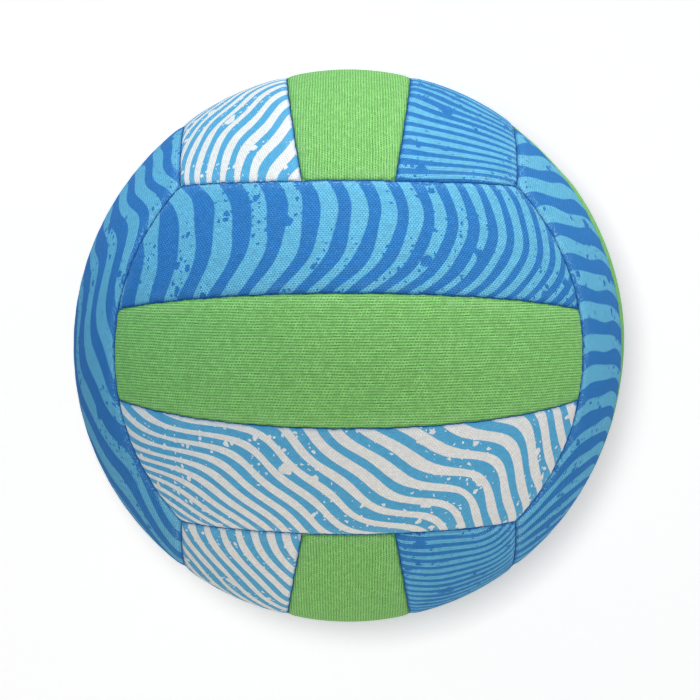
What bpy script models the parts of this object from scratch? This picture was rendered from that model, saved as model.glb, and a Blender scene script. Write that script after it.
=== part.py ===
"""Neoprene beach volleyball at rest, in metres, +Z up, with the origin at the ball's centre.

Eighteen sewn panels lie as six cube faces of three strips each. Thread runs along the twenty-four seams
between them. Inside is an inflated rubber bladder with a needle valve, whose stem comes out through the
middle panel of the left face. The ball rests on the small flat that its weight presses into its lowest
panel.
"""

import math

import bmesh
import bpy
from mathutils import Vector

# Ball and cover.
BALL_DIAMETER = 0.210
PANEL_THICKNESS = 0.0030    # knit-faced neoprene sheet
PANEL_CROWN = 0.0003        # how far a panel's middle stands above its rolled edges
EDGE_ROLL = 0.0036          # width of the band in which an edge turns down into its seam
SEAM_DEPTH = 0.0010         # depth of a seam valley below the ball's surface
SEAM_GAP = 0.0003           # clear space between two sewn panels
HEM_WIDTH = 0.0050          # seam allowance turned in under a panel's edge
HEM_THICKNESS = 0.0020      # the same allowance, pressed flat
REST_FLAT_DEPTH = 0.0005    # how far the ground presses the lowest panel in

# Panel layout, as angles seen from the ball's centre.
FACE_REACH_DEG = 53.5       # from the middle of a face to the middle of the seam at its strips' ends
STRIP_HALF_MID_DEG = 12.9   # half the width of a centre strip at its middle
STRIP_HALF_END_DEG = 9.0    # half the width of a centre strip at its ends
END_CURVE_POWER = 2.3       # how squarely the seam at the strips' ends bends to its two corners
LEFT_STRIP_SHIFT_DEG = -5.0 # how far up the left face's centre strip was sewn off its middle

# Seam thread.
THREAD_DIAMETER = 0.0005
THREAD_CLEARANCE = 0.0003   # from the thread to the panels and to the next thread

# Bladder.
BLADDER_WALL = 0.0010
BLADDER_CLEARANCE = 0.0003  # from the bladder to what it presses on

# Needle valve.
VALVE_FIT = 0.0003          # clear space around each piece of the valve
STEM_DIAMETER = 0.0090
STEM_RECESS = 0.0012        # from the ball's surface down to the end of the stem
FLANGE_DIAMETER = 0.0240
FLANGE_THICKNESS = 0.0012
BODY_DIAMETER = 0.0120
BODY_FLOOR = 0.0020         # rubber under the plug
AIR_PORT_DIAMETER = 0.0020
PLUG_DIAMETER = 0.0046
PLUG_HEAD_DIAMETER = 0.0064
PLUG_HEAD_THICKNESS = 0.0014
PLUG_LENGTH = 0.0140
NEEDLE_MOUTH_DIAMETER = 0.0026
NEEDLE_MOUTH_DEPTH = 0.0012
NEEDLE_PASSAGE_DIAMETER = 0.0010
NEEDLE_PASSAGE_DEPTH = 0.0080
PATCH_DIAMETER = 0.0320
PATCH_THICKNESS = 0.0006

# Facets.
LATHE_SIDES = 24
BLADDER_RINGS = 13
THREAD_SIDES = 6

BALL_RADIUS = BALL_DIAMETER / 2
CORNER_BETA = math.asin(1 / math.sqrt(3))
END_BETA = math.radians(STRIP_HALF_END_DEG)
MID_BETA = math.radians(STRIP_HALF_MID_DEG)
AXES = (Vector((1, 0, 0)), Vector((0, 1, 0)), Vector((0, 0, 1)))
FACES = {"right": "+X", "left": "-X", "back": "+Y", "front": "-Y", "top": "+Z", "bottom": "-Z"}
STRIPS = {"white": "low", "green": "middle", "blue": "high"}
VALVE_FACE = "left"
REST_FACE = "bottom"


def clear_scene():
    for obj in list(bpy.data.objects):
        bpy.data.objects.remove(obj, do_unlink=True)


def material(name, colour, roughness):
    mat = bpy.data.materials.new(name)
    mat.use_nodes = True
    shader = mat.node_tree.nodes["Principled BSDF"]
    shader.inputs["Base Color"].default_value = (*colour, 1.0)
    shader.inputs["Roughness"].default_value = roughness
    shader.inputs["Metallic"].default_value = 0.0
    return mat


def add_object(name, points, polygons, mat):
    """A closed mesh object from points and polygons, with its faces turned outwards."""
    mesh = bpy.data.meshes.new(name)
    mesh.from_pydata([tuple(point) for point in points], [], polygons)
    bm = bmesh.new()
    bm.from_mesh(mesh)
    bmesh.ops.recalc_face_normals(bm, faces=bm.faces)
    bm.to_mesh(mesh)
    bm.free()
    if mat is not None:
        mesh.materials.append(mat)
    obj = bpy.data.objects.new(name, mesh)
    bpy.context.scene.collection.objects.link(obj)
    return obj


def cut(obj, cutter):
    """Cuts a helper out of an object and keeps the helper out of the render."""
    cutter.hide_render = True
    cutter.display_type = "WIRE"
    modifier = obj.modifiers.new(cutter.name, "BOOLEAN")
    modifier.operation = "DIFFERENCE"
    modifier.solver = "EXACT"
    modifier.object = cutter


# Seam curves. A face's strips run along its second axis, and its three strips lie side by side along its
# third. Lambda is the angle along the strips, and beta is the angle across them.


def face_key(face):
    """The index of a face's normal axis, and the sign of that normal."""
    return "XYZ".index(FACES[face][1]), 1 if FACES[face][0] == "+" else -1


def face_axes(face):
    index, sign = face_key(face)
    return AXES[index] * sign, AXES[(index + 1) % 3], AXES[(index + 2) % 3]


def beside(face, side):
    """The face past the long side of this one."""
    index = (face_key(face)[0] + 2) % 3
    return next(name for name in FACES if face_key(name) == (index, side))


def strip_shift(face):
    """How far a face's centre strip lies off its middle."""
    return math.radians(LEFT_STRIP_SHIFT_DEG) if face == "left" else 0.0


def place(face, lam, beta):
    """The unit vector at these two angles on a face."""
    normal, along, across = face_axes(face)
    return (
        normal * (math.cos(beta) * math.cos(lam))
        + along * (math.cos(beta) * math.sin(lam))
        + across * math.sin(beta)
    )


def end_lambda(beta):
    """How far along a face the seam at its strips' ends lies."""
    corner = math.radians(45)
    bend = 1 - abs(beta / CORNER_BETA) ** END_CURVE_POWER
    return corner + (math.radians(FACE_REACH_DEG) - corner) * bend


def end_point(face, side, beta):
    """On the seam across the ends of a face's strips."""
    return place(face, side * end_lambda(beta), beta)


def inner_point(face, side, u):
    """On the seam between a face's centre strip and its neighbour on this side, for u from 0 to 1."""
    t = 2 * u - 1
    end = side * END_BETA + strip_shift(face)
    return place(face, t * end_lambda(end), end + side * (MID_BETA - END_BETA) * (1 - t * t))


def outer_point(face, side, u):
    """On the long seam between a face and the one beside it, which ends its strips here."""
    return end_point(beside(face, side), face_key(face)[1], (2 * u - 1) * CORNER_BETA)


def arc_length(curve, start, stop, steps=24):
    points = [curve(start + (stop - start) * k / steps) for k in range(steps + 1)]
    return BALL_RADIUS * sum(a.angle(b) for a, b in zip(points, points[1:]))


def stations(start, stop, margin):
    """Six stations from start to stop, with the second and the last but one at a margin from the ends."""
    shares = [0, *(margin + (1 - 2 * margin) * k / 3 for k in range(4)), 1]
    return [start + (stop - start) * share for share in shares]


def long_stations(ending):
    """Stations along a long seam where the three strips of this face end, each with its own share."""
    bends = [strip_shift(ending) - END_BETA, strip_shift(ending) + END_BETA]
    knots = [0, *((bend / CORNER_BETA + 1) / 2 for bend in bends), 1]
    found = [0]
    for start, stop in zip(knots, knots[1:]):
        curve = lambda u: end_point(ending, 1, (2 * u - 1) * CORNER_BETA)
        found += stations(start, stop, HEM_WIDTH / arc_length(curve, start, stop))[1:]
    return found


INNER_STATIONS = long_stations("top")
VALVE_AXIS = place(VALVE_FACE, 0, strip_shift(VALVE_FACE))


class Strip:
    """The outline of one panel: two long sides and two ends, on the unit sphere."""

    def __init__(self, face, colour):
        self.face = face
        self.side = ("low", "middle", "high").index(STRIPS[colour]) - 1
        shift = strip_shift(face)
        bends = (-CORNER_BETA, shift - END_BETA, shift + END_BETA, CORNER_BETA)
        self.low_beta, self.high_beta = bends[self.side + 1], bends[self.side + 2]
        self.low_stations = long_stations(beside(face, -1)) if self.side < 0 else INNER_STATIONS
        self.high_stations = long_stations(beside(face, 1)) if self.side > 0 else INNER_STATIONS

    def low(self, u):
        if self.side < 0:
            return outer_point(self.face, -1, u)
        return inner_point(self.face, 1 if self.side > 0 else -1, u)

    def high(self, u):
        if self.side > 0:
            return outer_point(self.face, 1, u)
        return inner_point(self.face, -1 if self.side < 0 else 1, u)

    def end(self, side, v):
        return end_point(self.face, side, self.low_beta + (self.high_beta - self.low_beta) * v)

    def point(self, u, v):
        """The panel's middle surface, blended between its four sides."""
        sides = self.low(u) * (1 - v) + self.high(u) * v
        ends = self.end(-1, v) * (1 - u) + self.end(1, v) * u
        first = self.end(-1, 0) * (1 - v) + self.end(-1, 1) * v
        last = self.end(1, 0) * (1 - v) + self.end(1, 1) * v
        return (sides + ends - first * (1 - u) - last * u).normalized()

    def length(self, v):
        return arc_length(lambda u: self.point(u, v), 0, 1)

    def grid(self, inset):
        """Unit vectors in columns, half a seam gap inside the outline, with a ring at the inset."""
        last = len(INNER_STATIONS) - 1
        end_length = arc_length(lambda v: self.end(-1, v), 0, 1)
        columns = []
        for i, (low, high) in enumerate(zip(self.low_stations, self.high_stations)):
            width = BALL_RADIUS * self.low(low).angle(self.high(high))
            margin = HEM_WIDTH / end_length if i in (0, last) else inset / width
            rows = stations(0, 1, margin)
            rows[0] = SEAM_GAP / 2 / width
            rows[-1] = 1 - rows[0]
            column = []
            for j, v in enumerate(rows):
                u = low * (1 - v) + high * v
                length = self.length(v)
                if i in (0, last):
                    u = SEAM_GAP / 2 / length
                elif i in (1, last - 1) and 0 < j < len(rows) - 1:
                    u = inset / length
                else:
                    column.append(self.point(u, v))
                    continue
                column.append(self.point(u if i < last / 2 else 1 - u, v))
            columns.append(column)
        return columns


def panel_mesh(face, colour):
    """Points and polygons of one panel: crowned outside, drawn-in edges, and a hem round the inside."""
    strip = Strip(face, colour)
    outside = strip.grid(EDGE_ROLL)
    inside = strip.grid(HEM_WIDTH)
    last_i, last_j = len(outside) - 1, len(outside[0]) - 1
    sheet_radius = BALL_RADIUS - PANEL_THICKNESS
    hem_radius = sheet_radius - HEM_THICKNESS
    points, index = [], {}

    def depth(i, j):
        return min(i, j, last_i - i, last_j - j)

    def add(layer, i, j, vector):
        index[layer, i, j] = len(points)
        points.append(vector)

    crown = {0: BALL_RADIUS - SEAM_DEPTH, 1: BALL_RADIUS - PANEL_CROWN}
    for i in range(last_i + 1):
        for j in range(last_j + 1):
            add("out", i, j, outside[i][j] * crown.get(depth(i, j), BALL_RADIUS))
            if depth(i, j) == 0:
                add("hem", i, j, outside[i][j] * hem_radius)
                continue
            add("in", i, j, inside[i][j] * sheet_radius)
            if depth(i, j) == 1:
                add("hem", i, j, inside[i][j] * hem_radius)

    polygons = []
    for i in range(last_i):
        for j in range(last_j):
            cell = ((i, j), (i + 1, j), (i + 1, j + 1), (i, j + 1))
            polygons.append([index["out", *key] for key in cell])
            layer = "in" if min(depth(*key) for key in cell) else "hem"
            polygons.append([index[layer, *key] for key in reversed(cell)])
    for ring, upper, lower in ((0, "out", "hem"), (1, "hem", "in")):
        far_i, far_j = last_i - ring, last_j - ring
        loop = [(i, ring) for i in range(ring, far_i)]
        loop += [(far_i, j) for j in range(ring, far_j)]
        loop += [(i, far_j) for i in range(far_i, ring, -1)]
        loop += [(ring, j) for j in range(far_j, ring, -1)]
        for a, b in zip(loop, loop[1:] + loop[:1]):
            polygons.append([index[upper, *b], index[upper, *a], index[lower, *a], index[lower, *b]])
    return points, polygons


def facet_floor(points, polygons):
    """The least distance from the ball's centre to a mesh's edges and diagonals."""
    return min(
        ((points[a] + points[b]) / 2).length
        for polygon in polygons
        for a in polygon
        for b in polygon
    )


def lathe(name, profile, axis, mat):
    """Turns (radius, height) points about an axis through the ball's centre.

    A profile from axis to axis gives a closed solid, and any other is joined from its end to its start.
    """
    across = Vector((0, 1, 0))
    other = axis.cross(across)
    points, rings = [], []
    for radius, height in profile:
        ring = []
        for k in range(LATHE_SIDES if radius > 0 else 1):
            turn = 2 * math.pi * k / LATHE_SIDES
            ring.append(len(points))
            points.append(axis * height + (across * math.cos(turn) + other * math.sin(turn)) * radius)
        rings.append(ring)
    pairs = list(zip(rings, rings[1:]))
    if len(rings[0]) > 1 and len(rings[-1]) > 1:
        pairs.append((rings[-1], rings[0]))
    polygons = []
    for first, second in pairs:
        if len(first) == 1 and len(second) == 1:
            continue
        for k in range(LATHE_SIDES):
            following = (k + 1) % LATHE_SIDES
            corners = [
                first[k % len(first)],
                first[following % len(first)],
                second[following % len(second)],
                second[k % len(second)],
            ]
            polygons.append(list(dict.fromkeys(corners)))
    return add_object(name, points, polygons, mat)


def on_sphere(sphere_radius, radius):
    """The height above the ball's centre of a point this far from the axis, on a sphere."""
    return radius, math.sqrt(sphere_radius**2 - radius**2)


def thread(name, curve, knots, mat):
    """A thread along one seam, at the bottom of its valley and clear of the threads it meets."""
    radius = THREAD_DIAMETER / 2
    slope = math.atan2(SEAM_DEPTH - PANEL_CROWN, EDGE_ROLL)
    height = BALL_RADIUS - SEAM_DEPTH + (radius + THREAD_CLEARANCE) / math.cos(slope)
    trim = (radius + THREAD_CLEARANCE) / arc_length(curve, 0, 1)
    path = [curve(u) * height for u in [trim] + knots[1:-1] + [1 - trim]]
    points, polygons = [], []
    for k, centre in enumerate(path):
        tangent = (path[min(k + 1, len(path) - 1)] - path[max(k - 1, 0)]).normalized()
        outward = centre.normalized()
        sideways = tangent.cross(outward).normalized()
        for side in range(THREAD_SIDES):
            turn = 2 * math.pi * side / THREAD_SIDES
            points.append(centre + (outward * math.cos(turn) + sideways * math.sin(turn)) * radius)
    for k in range(len(path) - 1):
        for side in range(THREAD_SIDES):
            following = (side + 1) % THREAD_SIDES
            here, there = k * THREAD_SIDES, (k + 1) * THREAD_SIDES
            polygons.append([here + side, here + following, there + following, there + side])
    polygons.append(list(range(THREAD_SIDES)))
    polygons.append(list(range(len(points) - THREAD_SIDES, len(points))))
    return add_object(name, points, polygons, mat)


def build_cover(mats):
    """The eighteen panels. Returns their objects and the lowest radii of their hems and inner faces."""
    panels, hem_floor, sheet_floor = {}, BALL_RADIUS, BALL_RADIUS
    for face in FACES:
        for colour in STRIPS:
            points, polygons = panel_mesh(face, colour)
            panels[face, colour] = add_object(f"{face}_{colour}_panel", points, polygons, mats[colour])
            hem_floor = min(hem_floor, facet_floor(points, polygons))
            sheet = [
                polygon
                for polygon in polygons
                if all(abs(points[k].length - BALL_RADIUS + PANEL_THICKNESS) < 1e-6 for k in polygon)
            ]
            sheet_floor = min(sheet_floor, facet_floor(points, sheet))
    return panels, hem_floor, sheet_floor


def build_threads(mat):
    for face in FACES:
        for side, pair in ((1, "blue_green"), (-1, "green_white")):
            inner = lambda u: inner_point(face, side, u)
            thread(f"{face}_{pair}_thread", inner, INNER_STATIONS, mat)
            neighbour = beside(face, side)
            outer = lambda u: outer_point(face, side, u)
            thread(f"{face}_{neighbour}_thread", outer, long_stations(neighbour), mat)


def build_valve(mats, bladder_inside, patch_top):
    """The valve's pieces, turned about the line through the middle of its panel."""
    top = BALL_RADIUS - STEM_RECESS
    stem = STEM_DIAMETER / 2
    flange = FLANGE_DIAMETER / 2
    body = BODY_DIAMETER / 2
    plug = PLUG_DIAMETER / 2
    head = PLUG_HEAD_DIAMETER / 2
    port = AIR_PORT_DIAMETER / 2
    flange_top = bladder_inside - VALVE_FIT
    flange_foot = flange_top - FLANGE_THICKNESS
    seat = top - PLUG_HEAD_THICKNESS - VALVE_FIT
    pocket = top - PLUG_LENGTH - VALVE_FIT
    housing = [
        (head + VALVE_FIT, top),
        (stem, top),
        on_sphere(flange_top, stem),
        on_sphere(flange_top, flange),
        on_sphere(flange_foot, flange),
        on_sphere(flange_foot, body),
        (body, pocket - BODY_FLOOR),
        (port, pocket - BODY_FLOOR),
        (port, pocket),
        (plug + VALVE_FIT, pocket),
        (plug + VALVE_FIT, seat),
        (head + VALVE_FIT, seat),
    ]
    lathe("valve_housing", housing, VALVE_AXIS, mats["valve"])
    needle = NEEDLE_PASSAGE_DIAMETER / 2
    core = [
        (0, top - NEEDLE_PASSAGE_DEPTH),
        (needle, top - NEEDLE_PASSAGE_DEPTH),
        (needle, top - NEEDLE_MOUTH_DEPTH),
        (NEEDLE_MOUTH_DIAMETER / 2, top),
        (head, top),
        (head, top - PLUG_HEAD_THICKNESS),
        (plug, top - PLUG_HEAD_THICKNESS),
        (plug, top - PLUG_LENGTH),
        (0, top - PLUG_LENGTH),
    ]
    lathe("valve_plug", core, VALVE_AXIS, mats["plug"])
    rim = PATCH_DIAMETER / 2
    hole = stem + VALVE_FIT
    patch = [
        on_sphere(patch_top, hole),
        on_sphere(patch_top, (hole + rim) / 2),
        on_sphere(patch_top, rim),
        on_sphere(patch_top - PATCH_THICKNESS, rim),
        on_sphere(patch_top - PATCH_THICKNESS, (hole + rim) / 2),
        on_sphere(patch_top - PATCH_THICKNESS, hole),
    ]
    lathe("valve_patch", patch, VALVE_AXIS, mats["patch"])


def build_bladder(mat, outside):
    """A shell with one opening, which the valve's stem fills."""
    inside = outside - BLADDER_WALL
    hole = STEM_DIAMETER / 2 + VALVE_FIT
    collar = FLANGE_DIAMETER / 2 + VALVE_FIT

    def rings(radius):
        start = math.asin(collar / radius)
        turns = [start + (math.pi - start) * k / BLADDER_RINGS for k in range(BLADDER_RINGS)]
        wall = [(radius * math.sin(turn), radius * math.cos(turn)) for turn in turns]
        return [on_sphere(radius, hole)] + wall + [(0, -radius)]

    return lathe("bladder", rings(outside) + list(reversed(rings(inside))), VALVE_AXIS, mat)


def main():
    clear_scene()
    mats = {
        "green": material("green_knit", (0.17, 0.48, 0.12), 0.75),
        "blue": material("blue_print", (0.05, 0.22, 0.58), 0.75),
        "white": material("white_print", (0.62, 0.72, 0.78), 0.75),
        "thread": material("seam_thread", (0.03, 0.10, 0.28), 0.65),
        "bladder": material("bladder_rubber", (0.05, 0.05, 0.055), 0.5),
        "valve": material("valve_rubber", (0.04, 0.04, 0.04), 0.5),
        "plug": material("plug_rubber", (0.10, 0.10, 0.10), 0.5),
        "patch": material("patch_cloth", (0.55, 0.55, 0.52), 0.85),
    }
    panels, hem_floor, sheet_floor = build_cover(mats)
    build_threads(mats["thread"])

    patch_top = sheet_floor - VALVE_FIT
    bladder_outside = min(hem_floor, patch_top - PATCH_THICKNESS) - BLADDER_CLEARANCE
    build_bladder(mats["bladder"], bladder_outside)
    build_valve(mats, bladder_outside - BLADDER_WALL, patch_top)

    hole = STEM_DIAMETER / 2 + VALVE_FIT
    reach = (0, sheet_floor / 2), (hole, sheet_floor / 2), (hole, BALL_DIAMETER), (0, BALL_DIAMETER)
    drill = lathe("valve_hole_cutter", reach, VALVE_AXIS, None)
    cut(panels[VALVE_FACE, "green"], drill)

    side = BALL_DIAMETER
    floor = -(BALL_RADIUS - REST_FLAT_DEPTH)
    corners = [Vector((x, y, z)) for x in (-side, side) for y in (-side, side) for z in (floor - side, floor)]
    walls = [(0, 1, 3, 2), (4, 6, 7, 5), (0, 4, 5, 1), (2, 3, 7, 6), (0, 2, 6, 4), (1, 5, 7, 3)]
    ground = add_object("rest_flat_cutter", corners, walls, None)
    cut(panels[REST_FACE, "green"], ground)


main()
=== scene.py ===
"""Looks of a neoprene beach volleyball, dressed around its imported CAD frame.

Eighteen padded panels of knit-faced neoprene lie as six cube faces of three strips each. A run of thread
holds every seam, and a rubber bladder with its valve fills the cover. Lengths are in metres.
"""

import logging
import math
from dataclasses import dataclass, field
from enum import Enum

import bpy
import numpy as np
from mathutils import Matrix, Vector

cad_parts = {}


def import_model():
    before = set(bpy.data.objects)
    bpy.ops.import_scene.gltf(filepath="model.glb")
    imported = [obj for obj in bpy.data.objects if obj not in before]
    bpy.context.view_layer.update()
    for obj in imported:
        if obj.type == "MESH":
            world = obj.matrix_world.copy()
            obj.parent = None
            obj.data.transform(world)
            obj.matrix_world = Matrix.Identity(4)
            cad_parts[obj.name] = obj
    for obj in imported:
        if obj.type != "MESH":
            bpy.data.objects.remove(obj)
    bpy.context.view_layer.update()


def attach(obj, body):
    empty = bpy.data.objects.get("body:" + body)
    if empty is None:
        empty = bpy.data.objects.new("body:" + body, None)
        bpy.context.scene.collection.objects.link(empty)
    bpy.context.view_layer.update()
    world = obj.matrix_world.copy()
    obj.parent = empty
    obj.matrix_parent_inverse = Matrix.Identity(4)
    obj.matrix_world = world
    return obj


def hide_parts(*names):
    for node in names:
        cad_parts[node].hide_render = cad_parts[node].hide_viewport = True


LOG = logging.getLogger("beach_volleyball")
BODY = "root"
MM = 0.001
TURN = 2 * math.pi
GOLDEN_TURN = 2.399963
BALL_RADIUS = 105 * MM
VALVE_HOLE = 4.8 * MM
ACROSS_VALVE = np.array([0.0, 1.0, 0.0])
SHARP_ANGLE = 50.0
KNIT_MAP = "knit_place"
FLOW_MAP = "print_flow"
BAKE_MAP = "OFBake"
SEAM_DISTANCE = "seam_distance"
LINING_MARK = -1 * MM  # the seam distance that marks a panel's unseen side

Numbers = float | np.ndarray
Socket = bpy.types.NodeSocket
Outputs = bpy.types.bpy_prop_collection
Value = float | tuple | Socket
Span = tuple[float, float]
Colour = tuple[float, float, float, float]


class Face(Enum):
    """A cube face of the cover: the axis that it looks along, and which way it looks."""

    RIGHT = (0, 1)
    LEFT = (0, -1)
    BACK = (1, 1)
    FRONT = (1, -1)
    TOP = (2, 1)
    BOTTOM = (2, -1)

    @property
    def label(self) -> str:
        """The face's name, as the CAD nodes write it."""
        return self.name.lower()

    @property
    def sign(self) -> int:
        """The way that the face looks along its axis."""
        return self.value[1]

    @property
    def number(self) -> int:
        """The face's place in the list of faces."""
        return list(Face).index(self)

    def axes(self) -> tuple[np.ndarray, np.ndarray, np.ndarray]:
        """The face's own directions.

        Returns:
            Its normal, the line that its strips run along, and the line across them.
        """
        axis, sign = self.value
        unit = np.eye(3)
        return unit[axis] * sign, unit[(axis + 1) % 3], unit[(axis + 2) % 3]

    def beside(self, side: int) -> "Face":
        """The face past this one's long side."""
        return Face(((self.value[0] + 2) % 3, side))


class StripColour(Enum):
    """The three strips of a face, by the side of its middle that they lie on."""

    WHITE = -1
    GREEN = 0
    BLUE = 1

    @property
    def label(self) -> str:
        """The colour's name, as the CAD nodes write it."""
        return self.name.lower()


@dataclass(frozen=True)
class SeamLayout:
    """The seam lines on the ball, as directions from its centre."""

    radius: float = BALL_RADIUS
    face_reach: float = math.radians(53.5)
    strip_half_mid: float = math.radians(12.9)
    strip_half_end: float = math.radians(9.0)
    end_curve_power: float = 2.3
    left_strip_shift: float = math.radians(-5.0)
    stitch_pitch: float = 3.2 * MM
    sway: float = 0.14 * MM
    sway_shares: Span = (0.45, 0.55)  # of the fine and the slow sway
    sway_stitches: Span = (2, 5.6)
    slow_phase: float = 1.7
    sway_fade_power: int = 8

    @property
    def corner(self) -> float:
        """The angle across a face at its corners."""
        return math.asin(1 / math.sqrt(3))

    def shift(self, face: Face) -> float:
        """How far a face's centre strip was sewn off its middle."""
        return self.left_strip_shift if face is Face.LEFT else 0.0

    def valve_axis(self) -> np.ndarray:
        """The line of the valve, through the middle of the left face's centre strip."""
        return self.place(Face.LEFT, 0.0, self.shift(Face.LEFT))

    def place(self, face: Face, lam: Numbers, beta: Numbers) -> np.ndarray:
        """Directions on a face.

        Args:
            face: The cube face.
            lam: Angles along the strips.
            beta: Angles across the strips.

        Returns:
            Unit vectors, one for each pair of angles.
        """
        normal, along, across = face.axes()
        lam, beta = np.broadcast_arrays(np.asarray(lam, float), np.asarray(beta, float))
        return (
            (np.cos(beta) * np.cos(lam))[..., None] * normal
            + (np.cos(beta) * np.sin(lam))[..., None] * along
            + np.sin(beta)[..., None] * across
        )

    def wander(self, seam: int, run: np.ndarray) -> np.ndarray:
        """The small sideways wander of a sewn seam.

        Args:
            seam: The seam's number.
            run: Distances along the seam.

        Returns:
            Sideways distances.
        """
        phase = GOLDEN_TURN * seam
        fine, slow = (TURN * run / (count * self.stitch_pitch) for count in self.sway_stitches)
        fine_share, slow_share = self.sway_shares
        waves = fine_share * np.sin(fine + phase) + slow_share * np.sin(slow + self.slow_phase * phase)
        return self.sway * waves

    def end_seam(self, face: Face, side: int) -> int:
        """The number of the seam across the ends of a face's strips."""
        return face.number * 2 + (side > 0)

    def inner_seam(self, face: Face, side: int) -> int:
        """The number of the seam beside a face's centre strip."""
        return 2 * len(Face) + face.number * 2 + (side > 0)

    def end_lambda(self, face: Face, side: int, beta: Numbers) -> np.ndarray:
        """How far along a face the seam at its strips' ends lies.

        Args:
            face: The cube face.
            side: Which end, -1 or 1.
            beta: Angles across the strips.

        Returns:
            Angles along the strips, without their sign.
        """
        share = np.abs(np.asarray(beta, float) / self.corner)
        reach = math.pi / 4 + (self.face_reach - math.pi / 4) * (1 - share**self.end_curve_power)
        wander = self.wander(self.end_seam(face, side), self.radius * np.asarray(beta, float))
        return reach + wander * (1 - share**self.sway_fade_power) / self.radius

    def end_point(self, face: Face, side: int, beta: np.ndarray) -> np.ndarray:
        """Directions on the seam across the ends of a face's strips."""
        return self.place(face, side * self.end_lambda(face, side, beta), beta)

    def inner_point(self, face: Face, side: int, u: np.ndarray) -> np.ndarray:
        """Directions on the seam beside a face's centre strip.

        Args:
            face: The cube face.
            side: Which side of the centre strip, -1 or 1.
            u: Shares of the seam, from 0 to 1.

        Returns:
            Unit vectors.
        """
        t = 2 * np.asarray(u, float) - 1
        end = side * self.strip_half_end + self.shift(face)
        reach = np.where(t < 0, self.end_lambda(face, -1, end), self.end_lambda(face, 1, end))
        bow = side * (self.strip_half_mid - self.strip_half_end) * (1 - t * t)
        wander = self.wander(self.inner_seam(face, side), self.radius * t * reach)
        return self.place(face, t * reach, end + bow + wander * (1 - t**self.sway_fade_power) / self.radius)

    def outer_point(self, face: Face, side: int, u: np.ndarray) -> np.ndarray:
        """Directions on the long seam between a face and the one beside it."""
        beta = (2 * np.asarray(u, float) - 1) * self.corner
        return self.end_point(face.beside(side), face.sign, beta)


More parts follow.
